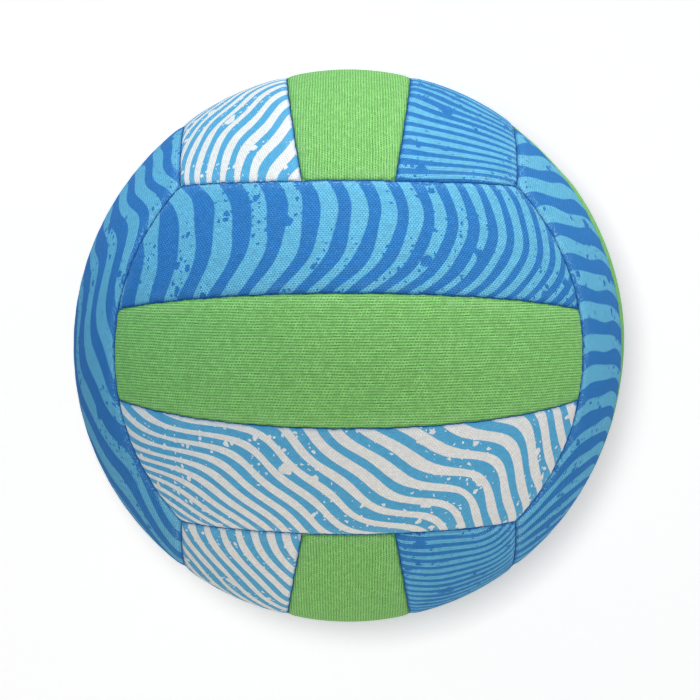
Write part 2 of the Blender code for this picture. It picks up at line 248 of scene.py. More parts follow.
@dataclass(frozen=True)
class PanelOutline:
    """The outline of one panel: two long sides and two ends."""

    layout: SeamLayout
    face: Face
    colour: StripColour

    def limits(self) -> Span:
        """Where the panel lies across its face.

        Returns:
            The angles across the face at which the panel's ends start and stop.
        """
        shift, half = self.layout.shift(self.face), self.layout.strip_half_end
        bends = (-self.layout.corner, shift - half, shift + half, self.layout.corner)
        place = self.colour.value + 1
        return bends[place], bends[place + 1]

    def inner_side(self, side: int) -> int:
        """The side of the centre strip that a long side inside the face lies on."""
        return side if self.colour is StripColour.GREEN else self.colour.value

    def long_side(self, side: int, u: np.ndarray) -> np.ndarray:
        """Directions on a long side.

        Args:
            side: -1 for the side that is lower across the face, 1 for the higher.
            u: Shares of the side's length.

        Returns:
            Unit vectors.
        """
        if self.colour.value == side:
            return self.layout.outer_point(self.face, side, u)
        return self.layout.inner_point(self.face, self.inner_side(side), u)

    def long_run(self, side: int, u: np.ndarray) -> tuple[int, np.ndarray]:
        """How far along its seam a long side has come.

        Args:
            side: -1 for the side that is lower across the face, 1 for the higher.
            u: Shares of the side's length.

        Returns:
            The seam's number, and the distances along it.
        """
        layout, t = self.layout, 2 * np.asarray(u, float) - 1
        if self.colour.value == side:
            return layout.end_seam(self.face.beside(side), self.face.sign), t * layout.corner * layout.radius
        seam = layout.inner_seam(self.face, self.inner_side(side))
        return seam, t * layout.face_reach * layout.radius

    def end_beta(self, v: np.ndarray) -> np.ndarray:
        """Angles across the face, from shares of the panel's width."""
        low, high = self.limits()
        return low + (high - low) * np.asarray(v, float)

    def end(self, side: int, v: np.ndarray) -> np.ndarray:
        """Directions on one end of the panel."""
        return self.layout.end_point(self.face, side, self.end_beta(v))

    def end_run(self, side: int, v: np.ndarray) -> tuple[int, np.ndarray]:
        """The seam's number and the distances along it, for an end."""
        return self.layout.end_seam(self.face, side), self.layout.radius * self.end_beta(v)

    def point(self, u: np.ndarray, v: np.ndarray) -> np.ndarray:
        """Directions inside the panel, blended between its four sides.

        Args:
            u: Shares of the length.
            v: Shares of the width.

        Returns:
            Unit vectors.
        """
        a, b = np.asarray(u, float)[..., None], np.asarray(v, float)[..., None]
        sides = self.long_side(-1, u) * (1 - b) + self.long_side(1, u) * b
        ends = self.end(-1, v) * (1 - a) + self.end(1, v) * a
        corner = [[self.end(s, np.array(float(t))) for t in (0, 1)] for s in (-1, 1)]
        first = corner[0][0] * (1 - b) + corner[0][1] * b
        last = corner[1][0] * (1 - b) + corner[1][1] * b
        blend = sides + ends - first * (1 - a) - last * a
        return blend / np.linalg.norm(blend, axis=-1, keepdims=True)

    def seam_distances(self, u: np.ndarray, v: np.ndarray) -> list[tuple[np.ndarray, int, np.ndarray]]:
        """Every point's distance from each of the four seams.

        Args:
            u: Shares of the length.
            v: Shares of the width.

        Returns:
            For each seam, the distances from it, its number, and the distances along it.
        """
        here, step = self.point(u, v), 1e-4
        found = []
        for side in (-1, 1):
            for curve, run, share in ((self.long_side, self.long_run, u), (self.end, self.end_run, v)):
                tangent = curve(side, share + step) - curve(side, share - step)
                tangent = tangent / np.linalg.norm(tangent, axis=-1, keepdims=True)
                away = here - curve(side, share)
                away = away - (away * tangent).sum(-1, keepdims=True) * tangent
                found.append((self.layout.radius * np.linalg.norm(away, axis=-1), *run(side, share)))
        return found

    def cloth_place(self, directions: np.ndarray) -> np.ndarray:
        """Places on the flat cloth that the panel was cut from.

        Args:
            directions: Unit vectors on the panel.

        Returns:
            Metres along and across the strip, from its middle.
        """
        normal, along, across = self.face.axes()
        outer = (self.layout.strip_half_mid + math.pi / 2 - self.layout.face_reach) / 2
        tilt = self.colour.value * outer + self.layout.shift(self.face) * (self.colour is StripColour.GREEN)
        middle = normal * math.cos(tilt) + across * math.sin(tilt)
        aside = across * math.cos(tilt) - normal * math.sin(tilt)
        lam = np.arctan2(directions @ along, directions @ middle)
        beta = np.arcsin(np.clip(directions @ aside, -1, 1))
        return self.layout.radius * np.stack([lam, beta], axis=-1)


@dataclass(frozen=True)
class PrintCut:
    """How the waves of the printed cloth run over one panel.

    The angle is in degrees, from the strip's length to the way the waves follow each other. Lengths are
    in millimetres of cloth, and growth is how fast the waves tighten along their way.
    """

    angle: float
    pitch: float
    growth: float = 0.0
    bend: float = 0.0
    bend_at: float = 0.0
    sway: float = 0.0
    sway_length: float = 60.0
    sway_phase: float = 0.0
    ripple: float = 0.3
    ripple_rate: float = 2.3
    ripple_drift: float = 21.0

    def flow(self, place: np.ndarray) -> np.ndarray:
        """The print's own coordinates.

        Args:
            place: Metres on the flat cloth.

        Returns:
            The count of waves passed, and the metres along a wave.
        """
        x, y = place[..., 0] / MM, place[..., 1] / MM
        turn = math.radians(self.angle)
        over = x * math.cos(turn) + y * math.sin(turn)
        along = y * math.cos(turn) - x * math.sin(turn)
        swing = TURN * along / self.sway_length + self.sway_phase
        ripples = self.ripple * np.sin(self.ripple_rate * swing + over / self.ripple_drift)
        shifted = over + self.bend * (along - self.bend_at) ** 2
        shifted = shifted + self.sway * (np.sin(swing) + ripples)
        if self.growth:
            shifted = np.expm1(self.growth * shifted) / self.growth
        return np.stack([shifted / self.pitch, along * MM], axis=-1)


PRINT_CUTS = {
    (Face.TOP, StripColour.BLUE): PrintCut(2, 10.8, 0.0065, 0.024, 8, 1.2, 52, 0.6),
    (Face.TOP, StripColour.WHITE): PrintCut(52, 6.6, -0.006, 0.004, -10, 4.5, 78, 1.9),
    (Face.BACK, StripColour.WHITE): PrintCut(24, 6.0, -0.006, -0.009, 6, 2.2, 52, 0.4),
    (Face.BACK, StripColour.BLUE): PrintCut(-24, 9.5, 0.004, 0.012, -14, 2.0, 58, 2.2),
    (Face.LEFT, StripColour.BLUE): PrintCut(58, 15.5, 0.006, 0.003, 0, 6.0, 78, 1.1),
    (Face.RIGHT, StripColour.BLUE): PrintCut(16, 11.5, -0.003, 0.012, 8, 3.6, 70, 2.8),
    (Face.FRONT, StripColour.WHITE): PrintCut(74, 9.0, 0.006, 0.003, 12, 3.2, 90, 0.2),
    (Face.FRONT, StripColour.BLUE): PrintCut(12, 6.6, 0.006, -0.005, 4, 3.4, 64, 1.4),
    (Face.RIGHT, StripColour.WHITE): PrintCut(38, 6.8, 0.006, 0.006, -6, 3.8, 72, 2.5),
    (Face.LEFT, StripColour.WHITE): PrintCut(-46, 7.0, -0.006, 0.005, 10, 3.6, 66, 0.9),
    (Face.BOTTOM, StripColour.BLUE): PrintCut(-8, 9.8, -0.006, 0.014, -6, 2.4, 54, 1.7),
    (Face.BOTTOM, StripColour.WHITE): PrintCut(-58, 6.8, 0.006, -0.004, 8, 4.2, 80, 2.9),
}


class MeshDraft:
    """The points, faces and maps of one piece, before they become a mesh."""

    def __init__(self) -> None:
        """Starts with nothing drawn."""
        self.points: list[np.ndarray] = []
        self.count = 0
        self.faces: list[np.ndarray] = []
        self.bake: list[np.ndarray] = []
        self.loops = np.empty(0, np.int64)
        self.bake_corners = np.empty((0, 2))

    def add_points(self, points: np.ndarray) -> np.ndarray:
        """Adds points.

        Args:
            points: Places, with the coordinates last.

        Returns:
            The points' numbers, in the same layout.
        """
        numbers = self.count + np.arange(points[..., 0].size).reshape(points.shape[:-1])
        self.points.append(points.reshape(-1, 3))
        self.count += numbers.size
        return numbers

    def add_faces(self, faces: np.ndarray, bake: np.ndarray | None = None) -> None:
        """Adds faces that have the same count of corners.

        Args:
            faces: Point numbers, one row for each face.
            bake: Places on the bake map, for each corner of each face.
        """
        self.faces.append(np.asarray(faces, np.int64))
        self.bake.append(np.zeros((*faces.shape, 2)) if bake is None else bake)

    def add_grid(self, numbers: np.ndarray, bake: np.ndarray | None = None) -> None:
        """Adds the four-sided faces of a grid of points.

        Args:
            numbers: Point numbers, in the grid's layout.
            bake: Places on the bake map, in the same layout.
        """
        corners = (slice(None, -1), slice(1, None))
        order = ((0, 0), (1, 0), (1, 1), (0, 1))

        def cells(grid: np.ndarray) -> np.ndarray:
            """The four corners of every cell."""
            return np.stack([grid[corners[i], corners[j]] for i, j in order], axis=2)

        laid = None if bake is None else cells(bake).reshape(-1, 4, 2)
        self.add_faces(cells(numbers).reshape(-1, 4), laid)

    def make(self, name: str, flip: bool = False, sharp: float = SHARP_ANGLE) -> bpy.types.Object:
        """Makes the mesh and its object.

        Args:
            name: The piece's name.
            flip: Whether the faces were drawn looking inwards.
            sharp: The angle, in degrees, past which an edge stays sharp.

        Returns:
            The object, linked to the scene.
        """
        mesh = bpy.data.meshes.new(name)
        turn = slice(None, None, -1) if flip else slice(None)
        faces = [group[:, turn] for group in self.faces]
        self.loops = np.concatenate([group.ravel() for group in faces])
        self.bake_corners = np.concatenate([group[:, turn].reshape(-1, 2) for group in self.bake])
        sizes = np.concatenate([np.full(len(group), group.shape[1]) for group in faces])
        starts = np.concatenate([[0], np.cumsum(sizes)[:-1]])
        mesh.vertices.add(self.count)
        mesh.vertices.foreach_set("co", np.concatenate(self.points).astype(np.float32).ravel())
        mesh.loops.add(len(self.loops))
        mesh.loops.foreach_set("vertex_index", self.loops.astype(np.int32))
        mesh.polygons.add(len(sizes))
        mesh.polygons.foreach_set("loop_start", starts.astype(np.int32))
        mesh.update(calc_edges=True)
        mesh.validate()
        mesh.shade_smooth()
        mesh.set_sharp_from_angle(angle=math.radians(sharp))
        made = bpy.data.objects.new(name, mesh)
        bpy.context.scene.collection.objects.link(made)
        return made

    def lay_map(self, made: bpy.types.Object, name: str, places: np.ndarray) -> None:
        """Gives the mesh a UV map from places at its points."""
        layer = made.data.uv_layers.new(name=name)
        layer.uv.foreach_set("vector", places[self.loops].astype(np.float32).ravel())

    def lay_bake(self, made: bpy.types.Object) -> None:
        """Gives the mesh the map that its textures are baked on."""
        layer = made.data.uv_layers.new(name=BAKE_MAP)
        layer.uv.foreach_set("vector", self.bake_corners.astype(np.float32).ravel())

    def mark_seams(self, made: bpy.types.Object, distances: np.ndarray) -> None:
        """Gives every point its distance from the nearest seam."""
        attribute = made.data.attributes.new(SEAM_DISTANCE, "FLOAT", "POINT")
        attribute.data.foreach_set("value", distances.astype(np.float32))


def tie_in(made: bpy.types.Object, node: str, finish: "Finish") -> None:
    """Gives a piece its finish, and ties it to the frame.

    Args:
        made: The piece.
        node: The CAD node that it stands for.
        finish: Its finish.
    """
    made.data.materials.append(finish.material())
    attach(made, BODY)
    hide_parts(node)


@dataclass(frozen=True)
class BakeBlock:
    """A block of the square map that a panel's textures are baked on."""

    left: float
    low: float
    wide: float
    high: float

    def lay(self, a: np.ndarray, b: np.ndarray) -> np.ndarray:
        """Places in the block, from shares of its width and height."""
        return np.stack([self.left + self.wide * a, self.low + self.high * b], axis=-1)


OUTSIDE_BLOCK = BakeBlock(0.005, 0.17, 0.99, 0.825)
HEM_BLOCK = BakeBlock(0.005, 0.165, 0.99, -0.06)
HOLE_BLOCK = BakeBlock(0.005, 0.1005, 0.99, 0.003)
TURN_IN_BLOCK = BakeBlock(0.005, 0.005, 0.99, 0.095)
LINING_BLOCK = BakeBlock(0.03, 0.012, 0.94, 0.081)


def graded_shares(length: float, step: float, group: int) -> np.ndarray:
    """Shares of a length, close together at both ends.

    Args:
        length: The whole length.
        step: The spacing away from the ends.
        group: A number that divides the count of spaces.

    Returns:
        Shares from 0 to 1.
    """
    edge = np.array([0, 0.18, 0.40, 0.68, 1.02, 1.45, 2.0, 2.7]) * MM
    spare = -2 * (len(edge) - 1) % group
    groups = round(((length - 2 * edge[-1]) / step - spare) / group)
    middle = np.linspace(edge[-1], length - edge[-1], max(spare, group * groups + spare) + 1)
    return np.concatenate([edge[:-1], middle, (length - edge[:-1])[::-1]]) / length


def grid_rim(last_i: int, last_j: int) -> tuple[np.ndarray, np.ndarray]:
    """The grid places round a grid's edge, in order.

    Args:
        last_i: The grid's last column.
        last_j: The grid's last row.

    Returns:
        Column numbers and row numbers.
    """
    i, j = np.arange(last_i), np.arange(last_j)
    columns = [i, np.full_like(j, last_i), last_i - i, np.zeros_like(j)]
    rows = [np.zeros_like(i), j, np.full_like(i, last_j), last_j - j]
    return np.concatenate(columns), np.concatenate(rows)


@dataclass
class CoverPanel:
    """One padded panel: a crowned outside, edges drawn down into the seams, and a hem turned in."""

    outline: PanelOutline
    thickness: float = 3.0 * MM
    crown: float = 0.30 * MM
    crown_reach: float = 7.0 * MM
    edge_roll: float = 3.4 * MM
    corner_round: float = 2.6 * MM
    seam_depth: float = 1.0 * MM
    seam_gap: float = 0.30 * MM
    hem_width: float = 5.0 * MM
    hem_thickness: float = 2.0 * MM
    lining_margin: float = 1.6 * MM
    pucker: float = 0.14 * MM
    pucker_reach: float = 2.2 * MM
    pucker_uneven: float = 0.25
    pucker_stitches: float = 7.3
    gather: float = 0.06 * MM
    gather_reach: float = 6.0 * MM
    gather_pitch: float = 9.7 * MM
    gather_drift: float = 23 * MM
    grid_step: float = 0.9 * MM
    lining_step: int = 4
    rest_height: float = -104.5 * MM
    valve_hole: float = VALVE_HOLE
    valve_dip: float = 0.5 * MM
    valve_dip_fade: float = 1.3 * MM
    valve_slack: float = 0.35 * MM
    end_slack: float = 0.70 * MM
    end_slack_from: Span = (math.radians(10), math.radians(34))
    end_slack_fade: Span = (math.radians(22), math.radians(8))
    slack_reach: float = 4.0 * MM
    fill: float = 0.95
    table_steps: int = 41
    shares: np.ndarray = field(init=False, repr=False)
    lengths: np.ndarray = field(init=False, repr=False)
    widths: np.ndarray = field(init=False, repr=False)

    def __post_init__(self) -> None:
        """Tables the panel's lengths and widths, for setting points in from its edge."""
        self.shares = np.linspace(0, 1, self.table_steps)
        grid = self.outline.point(*np.meshgrid(self.shares, self.shares, indexing="ij"))
        radius = self.outline.layout.radius
        self.lengths = radius * np.linalg.norm(np.diff(grid, axis=0), axis=-1).sum(0)
        self.widths = radius * np.linalg.norm(np.diff(grid, axis=1), axis=-1).sum(1)

    @property
    def name(self) -> str:
        """The panel's name, from the CAD node that it stands for."""
        return f"{self.outline.face.label}_{self.outline.colour.label}_cover"

    @property
    def node(self) -> str:
        """The CAD node that the panel stands for."""
        return f"{self.outline.face.label}_{self.outline.colour.label}_panel"

    @property
    def sheet_inside(self) -> float:
        """The inner side of the sheet, from the ball's centre."""
        return self.outline.layout.radius - self.thickness

    @property
    def has_valve(self) -> bool:
        """Whether the valve comes out through this panel."""
        return self.node == "left_green_panel"

    @property
    def is_rested_on(self) -> bool:
        """Whether the ball rests on this panel."""
        return self.node == "bottom_green_panel"

    def inset(self, a: np.ndarray, b: np.ndarray, margin: float) -> tuple[np.ndarray, np.ndarray]:
        """Squeezes shares of the panel in from its edge.

        Args:
            a: Shares of the length.
            b: Shares of the width.
            margin: How far in the edge moves.

        Returns:
            The shares of length and width after the squeeze.
        """
        side = (margin + self.seam_gap / 2) / np.interp(b, self.shares, self.lengths)
        end = (margin + self.seam_gap / 2) / np.interp(a, self.shares, self.widths)
        return side + a * (1 - 2 * side), end + b * (1 - 2 * end)

    def sewn(self, distance: np.ndarray, seam: int, run: np.ndarray) -> tuple[np.ndarray, np.ndarray]:
        """How far one seam's stitches and gathers draw the cloth down.

        Args:
            distance: Distances from the seam.
            seam: The seam's number.
            run: Distances along the seam.

        Returns:
            Depths of the stitches' puckers, and of the gathers.
        """
        pitch, phase = self.outline.layout.stitch_pitch, GOLDEN_TURN * seam
        pull = 0.5 + 0.5 * np.cos(TURN * run / pitch + phase)
        slow = np.sin(TURN * run / (self.pucker_stitches * pitch) + 2 * phase)
        uneven = 1 - self.pucker_uneven + self.pucker_uneven * slow
        puckers = self.pucker * pull * uneven * np.exp(-((distance / self.pucker_reach) ** 2))
        drift = np.sin(run / self.gather_drift + phase)
        waves = np.sin(TURN * run / self.gather_pitch + 3 * phase + drift)
        return puckers, self.gather * waves * np.exp(-distance / self.gather_reach)

    def relief(self, u: np.ndarray, v: np.ndarray) -> tuple[np.ndarray, np.ndarray]:
        """The outside's distance from the ball's centre, and from the nearest seam.

        Args:
            u: Shares of the length.
            v: Shares of the width.

        Returns:
            Radii, and distances from the nearest seam.
        """
        corner, stitches = np.zeros(u.shape), np.zeros(u.shape)
        nearest = np.full(u.shape, 1.0)
        for distance, seam, run in self.outline.seam_distances(u, v):
            corner += np.clip(1 - distance / self.corner_round, 0, None) ** 2
            for depth in self.sewn(distance, seam, run):
                stitches += depth
            nearest = np.minimum(nearest, distance)
        rounded = np.clip(self.corner_round * (1 - np.sqrt(corner)), 0, None)
        nearest = np.where(corner > 0, rounded, nearest)
        inside = np.clip(1 - (nearest - self.seam_gap / 2) / self.edge_roll, 0, 1)
        drawn = 1 - np.sqrt(1 - inside**2)
        radii = self.outline.layout.radius - self.crown * np.exp(-nearest / self.crown_reach)
        return radii - (self.seam_depth - self.crown) * drawn - stitches, nearest

    def slack(self, directions: np.ndarray) -> np.ndarray:
        """How much lower than a full panel a centre strip lies.

        The valve's panel is a little slack all over, and the one across the ball from it towards its ends.

        Args:
            directions: Unit vectors on the panel.

        Returns:
            Depths.
        """
        face = self.outline.face
        normal, along, _ = face.axes()
        lam = np.arctan2(directions @ along, directions @ normal)
        if face is Face.LEFT:
            return np.full(lam.shape, self.valve_slack)
        if face is not Face.RIGHT:
            return np.zeros(lam.shape)
        (start, stop), (below, above) = self.end_slack_from, self.end_slack_fade
        share = np.clip(np.maximum((start - lam) / below, (lam - stop) / above), 0, 1)
        return self.end_slack * share**2 * (3 - 2 * share)

    def outside(self, a: np.ndarray, b: np.ndarray) -> tuple[np.ndarray, np.ndarray]:
        """The panel's outside.

        Args:
            a: Shares of the length.
            b: Shares of the width.

        Returns:
            Points, and their distances from the nearest seam.
        """
        u, v = self.inset(a, b, 0.0)
        radii, distance = self.relief(u, v)
        directions = self.outline.point(u, v)
        if self.has_valve:
            layout = self.outline.layout
            away = layout.radius * np.arccos(np.clip(directions @ layout.valve_axis(), -1, 1))
            beside_hole = np.clip(away - self.valve_hole, 0, None)
            radii = radii - self.valve_dip * np.exp(-beside_hole / self.valve_dip_fade)
        if self.outline.colour is StripColour.GREEN:
            radii = radii - self.slack(directions) * np.clip(distance / self.slack_reach, 0, 1)
        points = directions * radii[..., None]
        if self.is_rested_on:
            points[..., 2] = np.maximum(points[..., 2], self.rest_height)
        return points, distance

    def hem_rings(self) -> list[tuple[float, float, float]]:
        """The rounded profile of the edge and the hem, from the outside to the lining.

        Returns:
            For each ring of points, how far in it lies, its radius, and its seam distance.
        """
        sheet, stop = self.sheet_inside, self.hem_width
        hem = sheet - self.hem_thickness
        return [
            (0.0, sheet + 0.4 * MM, 0.0),
            (0.0, hem + 0.8 * MM, 0.0),
            (0.5 * MM, hem + 0.15 * MM, 0.0),
            (1.4 * MM, hem, 0.0),
            (stop - 0.8 * MM, hem, 0.0),
            (stop - 0.1 * MM, hem + 0.3 * MM, LINING_MARK),
            (stop, sheet - 0.3 * MM, LINING_MARK),
            (stop + 0.5 * MM, sheet, LINING_MARK),
        ]

    def shape(self) -> tuple[MeshDraft, np.ndarray]:
        """Draws the panel's outside, edge, hem and lining.

        Returns:
            The draft, and every point's distance from the nearest seam, which is below 0 on the lining.
        """
        a = graded_shares(float(self.lengths.max()), self.grid_step, self.lining_step)
        b = graded_shares(float(self.widths.max()), self.grid_step, self.lining_step)
        grid_a, grid_b = np.meshgrid(a, b, indexing="ij")
        outside, distance = self.outside(grid_a, grid_b)
        draft = MeshDraft()
        numbers = draft.add_points(outside)
        draft.add_grid(numbers, OUTSIDE_BLOCK.lay(grid_a, grid_b))
        distances = [distance.ravel()]

        rim = grid_rim(len(a) - 1, len(b) - 1)
        rim_a, rim_b = a[rim[0]], b[rim[1]]
        loops = [numbers[rim]]
        for margin, height, mark in self.hem_rings():
            ring = self.outline.point(*self.inset(rim_a, rim_b, margin)) * height
            loops.append(draft.add_points(ring))
            distances.append(np.full(len(ring), mark))
        band = np.stack([np.append(loop, loop[0]) for loop in loops])
        along, down = np.meshgrid(np.linspace(0, 1, band.shape[1]), np.linspace(0, 1, len(band)))
        draft.add_grid(band, HEM_BLOCK.lay(along, down))

        lining_a, lining_b = np.meshgrid(a[:: self.lining_step], b[:: self.lining_step], indexing="ij")
        inner_place = self.inset(lining_a, lining_b, self.hem_width + self.lining_margin)
        inner = draft.add_points(self.outline.point(*inner_place) * self.sheet_inside)
        distances.append(np.full(inner.size, LINING_MARK))
        inner_bake = LINING_BLOCK.lay(lining_a, lining_b)
        draft.add_grid(inner[:, ::-1], inner_bake[:, ::-1])
        self.join_lining(draft, loops[-1], TURN_IN_BLOCK.lay(rim_a, rim_b), inner, inner_bake)
        return draft, np.concatenate(distances)

    def join_lining(
        self,
        draft: MeshDraft,
        edge: np.ndarray,
        edge_bake: np.ndarray,
        inner: np.ndarray,
        inner_bake: np.ndarray,
    ) -> None:
        """Joins the fine edge of the hem to the coarser lining.

        Args:
            draft: The panel's draft.
            edge: The hem's last loop of points.
            edge_bake: The loop's places on the bake map.
            inner: The lining's grid of points.
            inner_bake: The lining's places on the bake map.
        """
        rim = grid_rim(inner.shape[0] - 1, inner.shape[1] - 1)
        here = np.arange(len(rim[0]))
        there = (here + 1) % len(here)
        fine = (here[:, None] * self.lining_step + np.arange(self.lining_step + 1)) % len(edge)

        def strip(outer: np.ndarray, loop: np.ndarray) -> np.ndarray:
            """One face for each space of the lining's edge."""
            return np.concatenate([outer[fine][:, ::-1], loop[here][:, None], loop[there][:, None]], axis=1)

        draft.add_faces(strip(edge, inner[rim]), strip(edge_bake, inner_bake[rim]))

    def build(self) -> bpy.types.Object:
        """Makes the panel, with its maps.

        Returns:
            The object.
        """
        draft, distances = self.shape()
        made = draft.make(self.name, flip=self.outline.face.sign < 0)
        points = np.concatenate(draft.points)
        place = self.outline.cloth_place(points / np.linalg.norm(points, axis=1, keepdims=True))
        draft.lay_map(made, KNIT_MAP, place)
        cut = PRINT_CUTS.get((self.outline.face, self.outline.colour))
        if cut:
            draft.lay_map(made, FLOW_MAP, cut.flow(place))
        draft.lay_bake(made)
        draft.mark_seams(made, distances)
        return made

    def dress(self, made: bpy.types.Object, finish: "ClothFinish") -> None:
        """Gives the panel its cloth, and ties it to the frame."""
        tie_in(made, self.node, finish)


@dataclass
class SeamThread:
    """One seam's run of two-ply thread, which comes up between the panels and dips back at each stitch."""

    layout: SeamLayout
    face: Face
    side: int
    outer: bool
    ply_radius: float = 0.10 * MM
    ply_offset: float = 0.09 * MM
    twist_pitch: float = 1.3 * MM
    step: float = 0.28 * MM
    sides: int = 5
    height: float = 104.20 * MM
    dip: float = 0.45 * MM
    dip_power: int = 4
    slant: float = 0.06 * MM
    trim: float = 0.65 * MM
    table_steps: int = 601
    sharp_angle: float = 70.0

    @property
    def node(self) -> str:
        """The CAD node that the thread stands for.

        Returns:
            The node's name, from what the seam joins.
        """
        if self.outer:
            return f"{self.face.label}_{self.face.beside(self.side).label}_thread"
        pair = "blue_green" if self.side > 0 else "green_white"
        return f"{self.face.label}_{pair}_thread"

    @property
    def name(self) -> str:
        """The piece's name."""
        return self.node.replace("_thread", "_stitching")

    def path(self) -> tuple[np.ndarray, np.ndarray]:
        """The thread's way along its seam.

        Returns:
            Evenly spaced directions, and their distances from the seam's middle.
        """
        curve = self.layout.outer_point if self.outer else self.layout.inner_point
        shares = np.linspace(0, 1, self.table_steps)
        dense = curve(self.face, self.side, shares)
        length = self.layout.radius * np.linalg.norm(np.diff(dense, axis=0), axis=1)
        run = np.concatenate([[0], np.cumsum(length)])
        stations = np.linspace(self.trim, run[-1] - self.trim, int(run[-1] / self.step))
        spaced = curve(self.face, self.side, np.interp(stations, run, shares))
        return spaced, stations - run[-1] / 2

    def build(self) -> bpy.types.Object:
        """Makes the two twisted plies as one mesh.

        Returns:
            The object.
        """
        directions, run = self.path()
        tangent = np.gradient(directions, axis=0)
        tangent /= np.linalg.norm(tangent, axis=1, keepdims=True)
        sideways = np.cross(tangent, directions)
        stitch = TURN * run / self.layout.stitch_pitch
        down = self.dip * (0.5 + 0.5 * np.cos(stitch)) ** self.dip_power
        centre = directions * (self.height - down)[:, None]
        centre = centre + sideways * (self.slant * np.sin(stitch / 2))[:, None]
        turns = TURN * np.arange(self.sides) / self.sides
        ring = np.cos(turns)[None, :, None] * directions[:, None]
        ring = ring + np.sin(turns)[None, :, None] * sideways[:, None]
        draft = MeshDraft()
        for ply in (0, 1):
            twist = TURN * run / self.twist_pitch + ply * math.pi
            lay = directions * np.cos(twist)[:, None] + sideways * np.sin(twist)[:, None]
            middle = centre + lay * self.ply_offset
            numbers = draft.add_points(middle[:, None] + ring * self.ply_radius)
            draft.add_grid(np.concatenate([numbers, numbers[:, :1]], axis=1))
            draft.add_faces(np.stack([numbers[0], numbers[-1][::-1]]))
        return draft.make(self.name, flip=True, sharp=self.sharp_angle)

    def dress(self, made: bpy.types.Object, finish: "ThreadFinish") -> None:
        """Gives the thread its finish, and ties it to the frame."""
        tie_in(made, self.node, finish)


def valve_spokes(axis: np.ndarray, sides: int) -> np.ndarray:
    """Directions square to the valve's line, all the way round it."""
    turns = TURN * np.arange(sides) / sides
    return np.cos(turns)[:, None] * ACROSS_VALVE + np.sin(turns)[:, None] * np.cross(axis, ACROSS_VALVE)


@dataclass
class Lathe:
    """A turned piece about the valve's line, with rounded corners."""

    axis: np.ndarray
    sides: int = 72
    steps: int = 4
    side_share: float = 2.2  # a rounded corner takes at most one part in this of a side
    least_round: float = 0.001 * MM
    sharp_angle: float = 42.0

    def rounded(self, profile: list[tuple[float, float, float]]) -> np.ndarray:
        """Rounds a profile's corners.

        Args:
            profile: Distance from the axis, height and corner radius of each point, round a closed loop.

        Returns:
            Distances from the axis and heights.
        """
        corners = np.array([point[:2] for point in profile])
        found = []
        for k, (here, point) in enumerate(zip(corners, profile)):
            back, ahead = corners[k - 1] - here, corners[(k + 1) % len(corners)] - here
            room = min(np.linalg.norm(back), np.linalg.norm(ahead)) / self.side_share
            cut = min(point[2], room)
            if cut < self.least_round:
                found.append(here)
                continue
            start = here + back / np.linalg.norm(back) * cut
            stop = here + ahead / np.linalg.norm(ahead) * cut
            for t in np.linspace(0, 1, self.steps + 1):
                found.append(start * (1 - t) ** 2 + here * 2 * t * (1 - t) + stop * t**2)
        return np.array(found)

    def turned(self, name: str, profile: np.ndarray, teeth: np.ndarray | None = None) -> bpy.types.Object:
        """Turns a closed profile into a solid ring.

        Args:
            name: The piece's name.
            profile: Distances from the axis and heights, round a closed loop.
            teeth: How far each point of the profile and each side moves out from the axis.

        Returns:
            The object.
        """
        reach = profile[:, :1] + (0 if teeth is None else teeth)
        reach = np.broadcast_to(reach, (len(profile), self.sides))
        out = reach[..., None] * valve_spokes(self.axis, self.sides)[None]
        draft = MeshDraft()
        numbers = draft.add_points(profile[:, 1][:, None, None] * self.axis + out)
        ring = np.concatenate([numbers, numbers[:, :1]], axis=1)
        draft.add_grid(np.concatenate([ring, ring[:1]], axis=0))
        area = np.cross(profile, np.roll(profile, -1, axis=0)).sum()
        return draft.make(name, flip=bool(area > 0), sharp=self.sharp_angle)


def on_sphere(sphere: float, reach: float, corner: float = 0.0) -> tuple[float, float, float]:
    """A profile point on a sphere about the ball's centre, this far from the axis."""
    return reach, math.sqrt(sphere**2 - reach**2), corner


